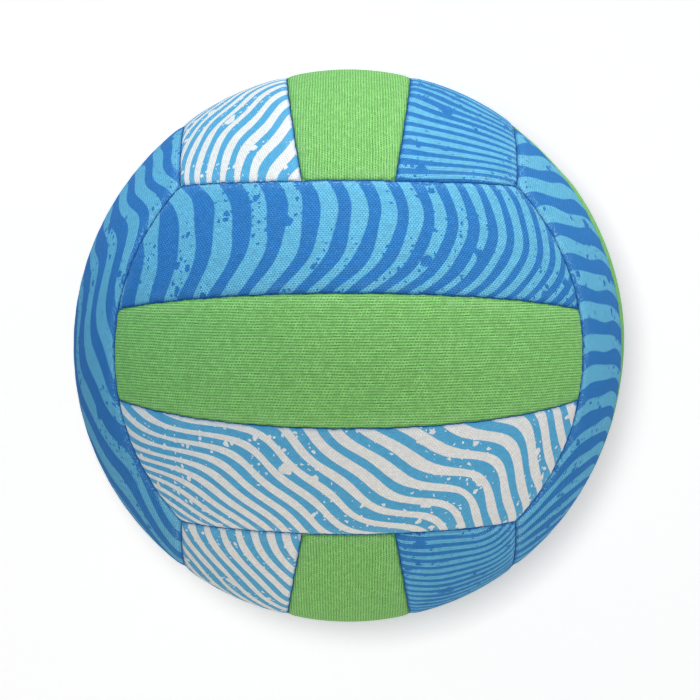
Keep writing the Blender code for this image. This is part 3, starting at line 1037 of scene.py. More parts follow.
@dataclass
class ValveSet:
    """The moulded valve: its housing, the plug that takes the needle, and the patch under the panel."""

    axis: np.ndarray
    top: float = 103.8 * MM
    stem: float = 4.5 * MM
    flange: float = 12.0 * MM
    flange_top: float = 97.82 * MM
    flange_thickness: float = 1.2 * MM
    body: float = 6.0 * MM
    foot: float = 87.5 * MM
    floor: float = 2.0 * MM
    port: float = 1.0 * MM
    plug: float = 2.3 * MM
    plug_foot: float = 89.8 * MM
    plug_sides: int = 48
    head: float = 3.2 * MM
    head_thickness: float = 1.4 * MM
    mouth: float = 1.3 * MM
    mouth_depth: float = 1.2 * MM
    needle: float = 0.5 * MM
    needle_depth: float = 8.0 * MM
    slit: float = 0.02 * MM
    fit: float = 0.3 * MM
    patch: float = 16.0 * MM
    patch_top: float = 100.75 * MM
    patch_thickness: float = 0.55 * MM
    patch_rings: int = 12
    patch_sides: int = 144
    pinking: float = 0.35 * MM
    tooth_sides: int = 4
    corner: float = 0.35 * MM
    punch_sides: int = 96
    punch_span: Span = (90.0 * MM, 110.0 * MM)

    def build_housing(self) -> bpy.types.Object:
        """The stem, flange and body, with the plug's seat inside.

        Returns:
            The object.
        """
        seat = self.top - self.head_thickness - self.fit
        pocket = self.foot + self.floor
        flange_foot = self.flange_top - self.flange_thickness
        corner = self.corner
        profile = [
            (self.head + self.fit, self.top, corner),
            (self.stem, self.top, 1.4 * corner),
            on_sphere(self.flange_top, self.stem, 2 * corner),
            on_sphere(self.flange_top, self.flange, corner),
            on_sphere(flange_foot, self.flange, corner),
            on_sphere(flange_foot, self.body, 2 * corner),
            (self.body, self.foot, 3 * corner),
            (self.port, self.foot, corner),
            (self.port, pocket, 0.0),
            (self.plug + self.fit, pocket, corner),
            (self.plug + self.fit, seat, corner),
            (self.head + self.fit, seat, corner),
        ]
        lathe = Lathe(self.axis)
        return lathe.turned("valve_stem_housing", lathe.rounded(profile))

    def build_plug(self) -> bpy.types.Object:
        """The self-sealing core, with a dished mouth for the needle and its slit below.

        Returns:
            The object.
        """
        corner, needle_foot = self.corner, self.top - self.needle_depth
        profile = [
            (self.slit, needle_foot, 0.0),
            (self.needle, needle_foot + self.needle, 0.0),
            (self.needle, self.top - self.mouth_depth, corner),
            (self.mouth, self.top, 0.8 * corner),
            (self.head, self.top, 0.8 * corner),
            (self.head, self.top - self.head_thickness, 0.6 * corner),
            (self.plug, self.top - self.head_thickness, 0.6 * corner),
            (self.plug, self.plug_foot, 2 * corner),
            (self.slit, self.plug_foot, 0.0),
        ]
        lathe = Lathe(self.axis, sides=self.plug_sides)
        return lathe.turned("valve_needle_plug", lathe.rounded(profile))

    def build_patch(self) -> bpy.types.Object:
        """The cloth ring under the panel, with a pinked edge.

        Returns:
            The object.
        """
        reach = np.linspace(self.stem + self.fit, self.patch, self.patch_rings)
        upper = [on_sphere(self.patch_top, float(r))[:2] for r in reach]
        lower = [on_sphere(self.patch_top - self.patch_thickness, float(r))[:2] for r in reach[::-1]]
        profile = np.array(upper + lower)
        half_tooth = self.tooth_sides // 2
        saw = np.abs(np.arange(self.patch_sides) % self.tooth_sides - half_tooth) / half_tooth
        rim = np.isclose(profile[:, 0], self.patch).astype(float)
        teeth = -self.pinking * rim[:, None] * saw[None]
        return Lathe(self.axis, sides=self.patch_sides).turned("valve_backing_patch", profile, teeth)

    def cutter(self, panel: CoverPanel) -> bpy.types.Object:
        """The round punch that opens the valve's hole in its panel.

        Args:
            panel: The panel's sizes.

        Returns:
            The punch, which is taken away after its cut.
        """
        sides, heights = self.punch_sides, np.array(self.punch_span)
        out = valve_spokes(self.axis, sides)[None] * panel.valve_hole
        draft = MeshDraft()
        numbers = draft.add_points(heights[:, None, None] * self.axis + out)
        bake = HOLE_BLOCK.lay(*np.meshgrid(np.linspace(0, 1, sides + 1), [0.0, 1.0]))
        draft.add_grid(np.concatenate([numbers, numbers[:, :1]], axis=1)[::-1], bake[::-1])
        draft.add_faces(np.stack([numbers[0][::-1], numbers[1]]))
        made = draft.make("valve_hole_punch")
        round_hole = np.tile(TURN * np.arange(sides) / sides, 2) * panel.valve_hole
        draft.lay_map(made, KNIT_MAP, np.stack([round_hole, np.repeat(heights, sides)], axis=-1))
        draft.lay_bake(made)
        draft.mark_seams(made, np.full(2 * sides, LINING_MARK))
        return made

    def open_panel(self, panel: CoverPanel, made: bpy.types.Object) -> None:
        """Punches the valve's hole through its panel.

        Args:
            panel: The panel's sizes.
            made: The panel's object.
        """
        punch = self.cutter(panel)
        modifier = made.modifiers.new("valve_hole", "BOOLEAN")
        modifier.operation, modifier.solver, modifier.object = "DIFFERENCE", "EXACT", punch
        graph = bpy.context.evaluated_depsgraph_get()
        cut = bpy.data.meshes.new_from_object(made.evaluated_get(graph), depsgraph=graph)
        made.modifiers.clear()
        old, made.data = made.data, cut
        cut.name = made.name
        bpy.data.meshes.remove(old)
        bpy.data.objects.remove(punch)
        cut.set_sharp_from_angle(angle=math.radians(SHARP_ANGLE))

    def dress(self, made: bpy.types.Object, node: str, finish: "Finish") -> None:
        """Gives a piece of the valve its finish, and ties it to the frame."""
        tie_in(made, node, finish)


@dataclass
class Bladder:
    """The inflated rubber shell, with its mould line and a thickened ring round the valve."""

    axis: np.ndarray
    outside: float = 99.05 * MM
    wall: float = 1.0 * MM
    hole: float = VALVE_HOLE
    mould_line: float = 0.14 * MM
    mould_width: float = 0.9 * MM
    ring_height: float = 0.12 * MM
    ring_reach: float = 19.0 * MM
    ring_fade: float = 0.4 * MM
    steepest: float = 40.0  # keeps the ring's fade within what exp can take
    pole_gap: float = 0.01
    sides: int = 144
    rows: int = 96
    sharp_angle: float = 60.0

    def build(self) -> bpy.types.Object:
        """Makes the closed shell, which opens only for the valve's stem.

        Returns:
            The object.
        """
        polar = np.linspace(math.asin(self.hole / self.outside), math.pi - self.pole_gap, self.rows)
        spokes = valve_spokes(self.axis, self.sides)[None]
        directions = np.cos(polar)[:, None, None] * self.axis + np.sin(polar)[:, None, None] * spokes
        aside = np.abs(directions @ ACROSS_VALVE) * self.outside
        ridge = self.mould_line * np.exp(-((aside / self.mould_width) ** 2))
        beyond = (self.outside * polar - self.ring_reach) / self.ring_fade
        ring = self.ring_height / (1 + np.exp(np.clip(beyond, -self.steepest, self.steepest)))[:, None]
        outer = directions * (self.outside + ridge + ring - self.ring_height)[..., None]
        inner = directions * (self.outside - self.wall)
        draft = MeshDraft()
        shells = [draft.add_points(outer), draft.add_points(inner[::-1])]
        far = np.array([[self.outside - self.ring_height], [self.outside - self.wall]])
        poles = draft.add_points(-self.axis * far)
        rows = np.concatenate([shells[1], shells[0]], axis=0)
        draft.add_grid(np.concatenate([rows, rows[:, :1]], axis=1))
        for shell, pole, row, turned in ((shells[0], poles[0], -1, -1), (shells[1], poles[1], 0, 1)):
            edge = shell[row][::turned]
            draft.add_faces(np.stack([edge, np.roll(edge, -1), np.full(len(edge), pole)], axis=1))
        return draft.make("air_bladder", sharp=self.sharp_angle)

    def dress(self, made: bpy.types.Object, finish: "RubberFinish") -> None:
        """Gives the bladder its rubber, and ties it to the frame."""
        tie_in(made, "bladder", finish)


class NodeDesk:
    """Places and links the nodes of one tree."""

    def __init__(self, tree: bpy.types.NodeTree) -> None:
        """Takes the tree to work on."""
        self.tree = tree

    def feed(self, socket: Socket, value: Value) -> None:
        """Links a socket to another, or sets its value.

        Args:
            socket: The socket that takes the value.
            value: Another node's socket, or a plain value.
        """
        if isinstance(value, Socket):
            self.tree.links.new(value, socket)
        else:
            socket.default_value = value

    def node(self, kind: str, inputs: dict | None = None, **settings: object) -> bpy.types.Node:
        """Adds a node.

        Args:
            kind: Blender's name for the node.
            inputs: Values or sockets for its inputs, by name or number.
            settings: The node's own properties.

        Returns:
            The node.
        """
        made = self.tree.nodes.new(kind)
        for name, value in settings.items():
            setattr(made, name, value)
        for name, value in (inputs or {}).items():
            self.feed(made.inputs[name], value)
        return made

    def math(self, operation: str, *values: Value, clamp: bool = False) -> Socket:
        """The result of a sum on numbers."""
        inputs = dict(enumerate(values))
        return self.node("ShaderNodeMath", inputs, operation=operation, use_clamp=clamp).outputs[0]

    def plus(self, first: Value, second: Value, clamp: bool = False) -> Socket:
        """Two numbers added."""
        return self.math("ADD", first, second, clamp=clamp)

    def minus(self, first: Value, second: Value) -> Socket:
        """One number less another."""
        return self.math("SUBTRACT", first, second)

    def times(self, first: Value, second: Value, clamp: bool = False) -> Socket:
        """Two numbers multiplied."""
        return self.math("MULTIPLY", first, second, clamp=clamp)

    def most(self, first: Value, second: Value) -> Socket:
        """The larger of two numbers."""
        return self.math("MAXIMUM", first, second)

    def centred(self, value: Value) -> Socket:
        """A number from 0 to 1, moved to lie about 0."""
        return self.minus(value, 0.5)

    def rest_of(self, value: Value) -> Socket:
        """What a share leaves of 1."""
        return self.minus(1.0, value)

    def step(self, value: Value, start: Value, stop: Value) -> Socket:
        """A smooth step from 0 to 1 between two values."""
        inputs = {"Value": value, "From Min": start, "From Max": stop}
        return self.node("ShaderNodeMapRange", inputs, interpolation_type="SMOOTHSTEP").outputs[0]

    def band(self, value: Value, rise: Span, fall: Span) -> Socket:
        """A band that rises smoothly from 0 to 1 and falls back."""
        return self.minus(self.step(value, *rise), self.step(value, *fall))

    def noise(self, place: Value, scale: float, detail: float = 2.0) -> Socket:
        """Soft noise, from 0 to 1."""
        inputs = {"Vector": place, "Scale": scale, "Detail": detail}
        return self.node("ShaderNodeTexNoise", inputs, noise_dimensions="3D").outputs[0]

    def mix(self, share: Value, first: Value, second: Value, blend: str = "MIX") -> Socket:
        """A blend of two colours, which have sockets 6 and 7 of the node."""
        inputs = {0: share, 6: first, 7: second}
        return self.node("ShaderNodeMix", inputs, data_type="RGBA", blend_type=blend).outputs[2]

    def bump(self, height: Value, distance: float, strength: float) -> Socket:
        """A normal, from heights."""
        inputs = {"Height": height, "Distance": distance, "Strength": strength}
        return self.node("ShaderNodeBump", inputs).outputs[0]

    def shaders(self, share: Value, first: bpy.types.Node, second: bpy.types.Node) -> bpy.types.Node:
        """A blend of two shaders."""
        return self.node("ShaderNodeMixShader", {0: share, 1: first.outputs[0], 2: second.outputs[0]})

    def moved(self, operation: str, inputs: dict) -> Socket:
        """The result of a sum on vectors."""
        return self.node("ShaderNodeVectorMath", inputs, operation=operation).outputs[0]

    def parts(self, vector: Value) -> tuple[Socket, Socket, Socket]:
        """The three parts of a vector."""
        return tuple(self.node("ShaderNodeSeparateXYZ", {0: vector}).outputs)

    def vector(self, x: Value, y: Value) -> Socket:
        """A vector from two numbers."""
        return self.node("ShaderNodeCombineXYZ", {0: x, 1: y}).outputs[0]

    def uv_map(self, name: str) -> Socket:
        """A UV map of the piece."""
        return self.node("ShaderNodeUVMap", uv_map=name).outputs[0]

    def object_place(self) -> Socket:
        """Metres from the ball's centre."""
        return self.node("ShaderNodeTexCoord").outputs["Object"]


@dataclass(frozen=True)
class GroupSocket:
    """A named input of an effect: a number with its default, or a vector without one."""

    name: str
    default: float | None = 0.0

    @property
    def kind(self) -> str:
        """Blender's name for the socket's type."""
        return "NodeSocketVector" if self.default is None else "NodeSocketFloat"


class Effect:
    """A shader node group that several finishes use."""

    title: str = ""
    takes: tuple[GroupSocket, ...] = ()
    gives: tuple[str, ...] = ()

    def wire(self, desk: NodeDesk, given: dict, result: dict) -> None:
        """Draws the effect's nodes between its inputs and outputs."""
        raise NotImplementedError

    def tree(self) -> bpy.types.NodeTree:
        """The group, made once.

        Returns:
            The node group.
        """
        found = bpy.data.node_groups.get(self.title)
        if found:
            return found
        tree = bpy.data.node_groups.new(self.title, "ShaderNodeTree")
        for socket in self.takes:
            made = tree.interface.new_socket(socket.name, in_out="INPUT", socket_type=socket.kind)
            if socket.default is not None:
                made.default_value = socket.default
        for name in self.gives:
            tree.interface.new_socket(name, in_out="OUTPUT", socket_type="NodeSocketFloat")
        desk = NodeDesk(tree)
        source, sink = desk.node("NodeGroupInput"), desk.node("NodeGroupOutput")
        result = {name: sink.inputs[name] for name in self.gives}
        self.wire(desk, {socket.name: source.outputs[socket.name] for socket in self.takes}, result)
        return tree

    def placed(self, desk: NodeDesk, values: dict) -> Outputs:
        """Places the effect in a finish.

        Args:
            desk: The finish's nodes.
            values: Values or sockets for the effect's inputs, by name.

        Returns:
            The effect's outputs.
        """
        return desk.node("ShaderNodeGroup", values, node_tree=self.tree()).outputs


class KnitFace(Effect):
    """Rows of small knit loops, with the pinholes between them."""

    title = "knit_face"
    takes = (
        GroupSocket("Place", None),
        GroupSocket("Row Pitch", 0.80 * MM),
        GroupSocket("Loop Pitch", 1.16 * MM),
        GroupSocket("Stagger", 0.5),
        GroupSocket("Pinhole", 0.30 * MM),
        GroupSocket("Dash", 0.0),
    )
    gives = ("Height", "Pinholes", "Heather")

    # Scales are waves in a metre of cloth.
    stray_scale, drift_scale, fibre_scale = 90.0, 150.0, 800.0
    streak_scale, streak_rows = 430.0, 5.3
    # How far rows and loops stray, in shares of their pitch.
    row_stray, loop_stray = 0.6, 0.4
    hole_edge, dash_edge = (0.45, 1.4), (0.05 * MM, 0.36 * MM)
    dash_break, dash_kept = (-0.10, 0.16), 0.5
    # How deep a pinhole is, and how far that varies.
    hole_least, hole_chance, hole_streak, hole_drift = 0.50, 0.36, 0.5, 0.25
    ridge_relief, hole_relief = 0.28, 0.6
    loop_tone, fibre_tone, streak_tone = 0.8, 0.9, 0.35

    def wire(self, desk: NodeDesk, given: dict, result: dict) -> None:
        """Draws staggered cells, each with a pinhole at its middle and loops round it.

        Args:
            desk: The group's nodes.
            given: The group's inputs, by name.
            result: The group's outputs, by name.
        """
        place, row_pitch, loop_pitch = given["Place"], given["Row Pitch"], given["Loop Pitch"]
        x, y, _ = desk.parts(place)
        stray = desk.centred(desk.noise(place, self.stray_scale, 1.0))
        rows = desk.plus(desk.math("DIVIDE", y, row_pitch), desk.times(stray, self.row_stray))
        row = desk.math("FLOOR", rows)
        columns = desk.plus(desk.math("DIVIDE", x, loop_pitch), desk.times(stray, self.loop_stray))
        columns = desk.plus(columns, desk.times(row, given["Stagger"]))
        over, up = (desk.centred(desk.math("FRACT", count)) for count in (columns, rows))
        cell = desk.vector(desk.math("FLOOR", columns), row)
        chance = desk.node("ShaderNodeTexWhiteNoise", {0: cell}, noise_dimensions="2D").outputs[0]
        row_place = desk.vector(desk.times(x, self.streak_scale), desk.times(row, self.streak_rows))
        streak = desk.centred(desk.noise(row_place, 1.0, 1.0))
        drift = desk.centred(desk.noise(place, self.drift_scale))

        wide = desk.math("POWER", desk.times(over, loop_pitch), 2.0)
        high = desk.math("POWER", desk.times(up, row_pitch), 2.0)
        reach = desk.math("DIVIDE", desk.math("SQRT", desk.plus(wide, high)), given["Pinhole"])
        hole = desk.rest_of(desk.step(reach, *self.hole_edge))
        aside = desk.times(desk.math("ABSOLUTE", up), row_pitch)
        dash = desk.times(desk.rest_of(desk.step(aside, *self.dash_edge)), given["Dash"])
        broken = desk.times(desk.step(streak, *self.dash_break), 1 - self.dash_kept)
        dash = desk.times(dash, desk.plus(self.dash_kept, broken))
        depth = desk.plus(self.hole_least, desk.times(chance, self.hole_chance))
        depth = desk.plus(depth, desk.times(streak, self.hole_streak))
        depth = desk.plus(depth, desk.times(drift, self.hole_drift), clamp=True)
        pinholes = desk.times(desk.most(hole, dash), depth, clamp=True)
        desk.feed(result["Pinholes"], pinholes)

        ridge = desk.math("COSINE", desk.times(up, TURN))
        ridge = desk.minus(0.5, desk.times(ridge, self.ridge_relief))
        desk.feed(result["Height"], desk.minus(ridge, desk.times(pinholes, self.hole_relief)))
        loop = desk.times(desk.rest_of(hole), desk.centred(chance))
        fibre = desk.centred(desk.noise(place, self.fibre_scale))
        tone = desk.plus(desk.times(loop, self.loop_tone), desk.times(fibre, self.fibre_tone))
        tone = desk.plus(tone, desk.times(streak, self.streak_tone))
        desk.feed(result["Heather"], desk.plus(tone, 0.5))


class WavePrint(Effect):
    """Wave stripes with bled edges, and the splashes that break them."""

    title = "wave_print"
    takes = (
        GroupSocket("Flow", None),
        GroupSocket("Place", None),
        GroupSocket("Share", 0.5),
        GroupSocket("Bleed", 0.05),
        GroupSocket("Splash", 0.5),
    )
    gives = ("Stripes", "Splashes")

    # Scales are waves or cells in a metre of cloth.
    fray_scale, fray = 520.0, 0.035
    swell_scale, swell = 34.0, 0.7
    crowd_scale, crowd_edge = 38.0, (0.34, 0.58)
    shakes = ((260.0, 1.3 * MM), (900.0, 0.5 * MM))
    drop_sizes = ((100.0, 0.42), (190.0, 0.46), (390.0, 0.44))
    drop_scatter, drop_edge = 0.8, 0.05

    def drops(self, desk: NodeDesk, place: Value, scale: float, most: float, amount: Value) -> Socket:
        """Round drops of many sizes.

        Args:
            desk: The group's nodes.
            place: Metres on the cloth.
            scale: Cells in a metre.
            most: The largest drop, as a share of a cell.
            amount: How many cells hold a drop.

        Returns:
            A mask.
        """
        inputs = {"Vector": place, "Scale": scale, "Randomness": self.drop_scatter}
        cells = desk.node("ShaderNodeTexVoronoi", inputs, voronoi_dimensions="2D", feature="F1").outputs
        chance = desk.parts(cells["Color"])[0]
        size = desk.times(desk.minus(desk.plus(chance, amount), 1.0), most)
        return desk.step(desk.minus(size, cells["Distance"]), 0.0, self.drop_edge)

    def ragged(self, desk: NodeDesk, place: Value, scale: float, reach: float) -> Socket:
        """Places shaken about, for a ragged edge.

        Args:
            desk: The group's nodes.
            place: Metres on the cloth.
            scale: The shake's waves in a metre.
            reach: How far a place may move.

        Returns:
            The shaken places.
        """
        inputs = {"Vector": place, "Scale": scale}
        noise = desk.node("ShaderNodeTexNoise", inputs, noise_dimensions="2D").outputs[1]
        shake = desk.moved("SUBTRACT", {0: noise, 1: (0.5, 0.5, 0.5)})
        return desk.moved("ADD", {0: place, 1: desk.moved("SCALE", {0: shake, 3: 2 * reach})})

    def wire(self, desk: NodeDesk, given: dict, result: dict) -> None:
        """Draws the stripes across the flow, then the drops over the cloth.

        Args:
            desk: The group's nodes.
            given: The group's inputs, by name.
            result: The group's outputs, by name.
        """
        place = given["Place"]
        frayed = desk.centred(desk.noise(place, self.fray_scale, 3.0))
        count = desk.plus(desk.parts(given["Flow"])[0], desk.times(frayed, self.fray))
        rise = desk.times(desk.math("ABSOLUTE", desk.centred(desk.math("FRACT", count))), 2.0)
        swell = desk.centred(desk.noise(place, self.swell_scale, 1.0))
        edge = desk.rest_of(desk.plus(given["Share"], desk.times(swell, self.swell)))
        start, stop = desk.minus(edge, given["Bleed"]), desk.plus(edge, given["Bleed"])
        desk.feed(result["Stripes"], desk.step(rise, start, stop))

        crowd = desk.step(desk.noise(place, self.crowd_scale, 1.0), *self.crowd_edge)
        amount = desk.times(given["Splash"], crowd)
        for scale, reach in self.shakes:
            place = self.ragged(desk, place, scale, reach)
        drops = [self.drops(desk, place, scale, most, amount) for scale, most in self.drop_sizes]
        desk.feed(result["Splashes"], desk.most(desk.most(drops[0], drops[1]), drops[2]))


class SeamWearAndShade(Effect):
    """What sewing and play do to a cloth near its seams, and the shade painted into its seam grooves."""

    title = "seam_wear"
    takes = (GroupSocket("Seam Distance", 0.0), GroupSocket("Place", None), GroupSocket("Outer Side", 1.0))
    gives = ("Valley", "Rub", "Specks", "Lining")

    # Distances from the seam between which each band comes and goes.
    # The painted seam shade darkens the cloth within these distances of the seam, where shade falls in the
    # groove.
    valley_edge = (0.15 * MM, 1.3 * MM)
    crest_rise, crest_fall = (0.8 * MM, 2.0 * MM), (2.4 * MM, 6.5 * MM)
    speck_rise, speck_fall = (0.3 * MM, 0.8 * MM), (1.0 * MM, 4.6 * MM)
    lining_below = -0.4 * MM
    # How far out across the strip the specks begin.
    outer_edge = (12 * MM, 17 * MM)
    patch_scale, patch_edge = 130.0, (0.35, 0.75)
    dot_scale, dot_edge = 1100.0, (0.50, 0.68)

    def wire(self, desk: NodeDesk, given: dict, result: dict) -> None:
        """Draws painted shade in the seam groove, and bands beside the seam broken up by noise.

        Args:
            desk: The group's nodes.
            given: The group's inputs, by name.
            result: The group's outputs, by name.
        """
        distance, place = given["Seam Distance"], given["Place"]
        # Painted shade: 1 in the seam groove, fading out away from the seam.
        desk.feed(result["Valley"], desk.rest_of(desk.step(distance, *self.valley_edge)))
        crest = desk.band(distance, self.crest_rise, self.crest_fall)
        patchy = desk.step(desk.noise(place, self.patch_scale, 3.0), *self.patch_edge)
        desk.feed(result["Rub"], desk.times(crest, patchy))
        outward = desk.times(desk.parts(place)[1], given["Outer Side"])
        line = desk.band(distance, self.speck_rise, self.speck_fall)
        line = desk.times(line, desk.step(outward, *self.outer_edge))
        dots = desk.step(desk.noise(place, self.dot_scale, 1.0), *self.dot_edge)
        desk.feed(result["Specks"], desk.times(line, dots))
        desk.feed(result["Lining"], desk.math("LESS_THAN", distance, self.lining_below))


class RubberBloom(Effect):
    """The pale bloom and the fine grain of moulded rubber."""

    title = "rubber_bloom"
    takes = (GroupSocket("Place", None), GroupSocket("Amount", 0.5))
    gives = ("Bloom", "Grain")

    cloud_scale, cloud_edge = 120.0, (0.38, 0.78)
    grain_scale = 2600.0

    def wire(self, desk: NodeDesk, given: dict, result: dict) -> None:
        """Draws broad clouds for the bloom and fine noise for the grain.

        Args:
            desk: The group's nodes.
            given: The group's inputs, by name.
            result: The group's outputs, by name.
        """
        cloud = desk.step(desk.noise(given["Place"], self.cloud_scale, 4.0), *self.cloud_edge)
        desk.feed(result["Bloom"], desk.times(cloud, given["Amount"]))
        desk.feed(result["Grain"], desk.noise(given["Place"], self.grain_scale))


def shade(red: int, green: int, blue: int) -> Colour:
    """A colour from its screen values.

    Args:
        red: Red, from 0 to 255.
        green: Green, from 0 to 255.
        blue: Blue, from 0 to 255.

    Returns:
        The colour in the linear light that the shaders count in.
    """
    parts = [part / 255 for part in (red, green, blue)]
    linear = [part / 12.92 if part <= 0.04045 else ((part + 0.055) / 1.055) ** 2.4 for part in parts]
    return (*linear, 1.0)


@dataclass(frozen=True)
class Finish:
    """A material, made once and shared by the pieces that wear it."""

    slot: str

    def dress_nodes(self, desk: NodeDesk, shader: bpy.types.Node) -> None:
        """Draws the finish's nodes into its shader."""
        raise NotImplementedError

    def material(self) -> bpy.types.Material:
        """The material, made on first use.

        Returns:
            The material.
        """
        name = f"{self.slot}_finish"
        found = bpy.data.materials.get(name)
        if found:
            return found
        made = bpy.data.materials.new(name)
        made.use_nodes = True
        desk = NodeDesk(made.node_tree)
        self.dress_nodes(desk, made.node_tree.nodes["Principled BSDF"])
        return made


@dataclass(frozen=True)
class ClothFinish(Finish):
    """Knit-faced neoprene in one plain colour."""

    cloth: Colour
    pinhole: Colour
    # Painted shade: the colour of the shade in the seam grooves, mixed in near every seam.
    valley: Colour = shade(20, 84, 150)
    foam: Colour = shade(58, 58, 60)
    pale: Colour = shade(226, 232, 230)
    pinhole_share: float = 0.68
    pinhole_tint: float = 0.85
    row_pitch: float = 0.80 * MM
    loop_pitch: float = 1.16 * MM
    stagger: float = 0.5
    dash: float = 0.0
    outer_side: float = 1.0
    heather_share: float = 0.22
    rub_share: float = 0.05
    speck_share: float = 0.0
    # How strongly the painted seam shade darkens the cloth in the seam grooves.
    valley_share: float = 0.45
    roughness: float = 0.62
    heather_roughness: float = 0.16
    rub_roughness: float = 0.1
    relief: float = 0.16 * MM
    relief_strength: float = 0.7
    sheen: float = 0.01
    sheen_roughness: float = 0.45
    specular: float = 0.04

    def ground(self, desk: NodeDesk, place: Value) -> Value:
        """The cloth's colour before its knit."""
        return self.cloth

    def colour(self, desk: NodeDesk, ground: Value, knit: Outputs, wear_and_shade: Outputs) -> Socket:
        """The cloth's colour with its knit, its worn marks near the seams, and painted shade in its seam
        grooves.

        Args:
            desk: The finish's nodes.
            ground: The colour before the knit.
            knit: The knit's outputs, by name.
            wear_and_shade: The outputs of the seam marks and the painted seam shade, by name.

        Returns:
            The colour.
        """
        tone = desk.times(desk.centred(knit["Heather"]), 2 * self.heather_share)
        heather = {"Value": desk.plus(1.0, tone), "Color": ground}
        lit = desk.node("ShaderNodeHueSaturation", heather).outputs[0]
        dark = desk.mix(self.pinhole_tint, ground, self.pinhole, "MULTIPLY")
        colour = desk.mix(desk.times(knit["Pinholes"], self.pinhole_share), lit, dark)
        for mark, share, over in (
            ("Rub", self.rub_share, self.pale),
            ("Specks", self.speck_share, self.pale),
            # Painted shade in the seam grooves.
            ("Valley", self.valley_share, self.valley),
        ):
            colour = desk.mix(desk.times(wear_and_shade[mark], share), colour, over)
        return desk.mix(wear_and_shade["Lining"], colour, self.foam)

    def dress_nodes(self, desk: NodeDesk, shader: bpy.types.Node) -> None:
        """Knits the ground colour, then wears it near the seams and paints shade into the seam grooves.

        Args:
            desk: The finish's nodes.
            shader: Its shader.
        """
        place = desk.uv_map(KNIT_MAP)
        distance = desk.node("ShaderNodeAttribute", attribute_name=SEAM_DISTANCE).outputs["Fac"]
        loops = {"Row Pitch": self.row_pitch, "Loop Pitch": self.loop_pitch, "Stagger": self.stagger}
        knit = KnitFace().placed(desk, {"Place": place, "Dash": self.dash, **loops})
        near = {"Seam Distance": distance, "Place": place, "Outer Side": self.outer_side}
        # Seam wear, and the painted shade in the seam grooves.
        wear_and_shade = SeamWearAndShade().placed(desk, near)
        colour = self.colour(desk, self.ground(desk, place), knit, wear_and_shade)
        desk.feed(shader.inputs["Base Color"], colour)
        rough = desk.plus(self.roughness, desk.times(knit["Heather"], self.heather_roughness))
        rough = desk.plus(rough, desk.times(wear_and_shade["Rub"], self.rub_roughness))
        desk.feed(shader.inputs["Roughness"], rough)
        desk.feed(shader.inputs["Normal"], desk.bump(knit["Height"], self.relief, self.relief_strength))
        shader.inputs["Sheen Weight"].default_value = self.sheen
        shader.inputs["Sheen Roughness"].default_value = self.sheen_roughness
        shader.inputs["Specular IOR Level"].default_value = self.specular


@dataclass(frozen=True)
class PrintFinish(ClothFinish):
    """Knit-faced neoprene with a two-colour wave print."""

    ink: Colour = shade(52, 122, 190)
    share: float = 0.5
    splash: float = 0.6
    splash_is_ink: bool = True

    def ground(self, desk: NodeDesk, place: Value) -> Value:
        """The cloth's colour under its knit, with the print on it.

        Args:
            desk: The finish's nodes.
            place: Metres on the cloth.

        Returns:
            The colour.
        """
        given = {"Flow": desk.uv_map(FLOW_MAP), "Place": place, "Share": self.share, "Splash": self.splash}
        marks = WavePrint().placed(desk, given)
        if self.splash_is_ink:
            inked = desk.most(marks["Stripes"], marks["Splashes"])
        else:
            inked = desk.times(marks["Stripes"], desk.rest_of(marks["Splashes"]))
        return desk.mix(inked, self.cloth, self.ink)


@dataclass(frozen=True)
class ThreadFinish(Finish):
    """Waxed polyester thread."""

    colour: Colour
    worn: Colour
    worn_scale: float = 900.0
    worn_edge: Span = (0.35, 0.75)
    roughness: float = 0.55
    specular: float = 0.15

    def dress_nodes(self, desk: NodeDesk, shader: bpy.types.Node) -> None:
        """Varies the thread's colour along its run.

        Args:
            desk: The finish's nodes.
            shader: Its shader.
        """
        tone = desk.step(desk.noise(desk.object_place(), self.worn_scale, 3.0), *self.worn_edge)
        desk.feed(shader.inputs["Base Color"], desk.mix(tone, self.colour, self.worn))
        shader.inputs["Roughness"].default_value = self.roughness
        shader.inputs["Specular IOR Level"].default_value = self.specular


@dataclass(frozen=True)
class RubberFinish(Finish):
    """Moulded rubber with a little bloom."""

    colour: Colour
    bloom: Colour
    amount: float = 0.4
    roughness: float = 0.48
    bloom_roughness: float = 0.4
    relief: float = 0.05 * MM
    relief_strength: float = 0.4

    def dress_nodes(self, desk: NodeDesk, shader: bpy.types.Node) -> None:
        """Clouds the rubber and grains its surface.

        Args:
            desk: The finish's nodes.
            shader: Its shader.
        """
        marks = RubberBloom().placed(desk, {"Place": desk.object_place(), "Amount": self.amount})
        desk.feed(shader.inputs["Base Color"], desk.mix(marks["Bloom"], self.colour, self.bloom))
        rough = desk.plus(self.roughness, desk.times(marks["Bloom"], self.bloom_roughness))
        desk.feed(shader.inputs["Roughness"], rough)
        desk.feed(shader.inputs["Normal"], desk.bump(marks["Grain"], self.relief, self.relief_strength))


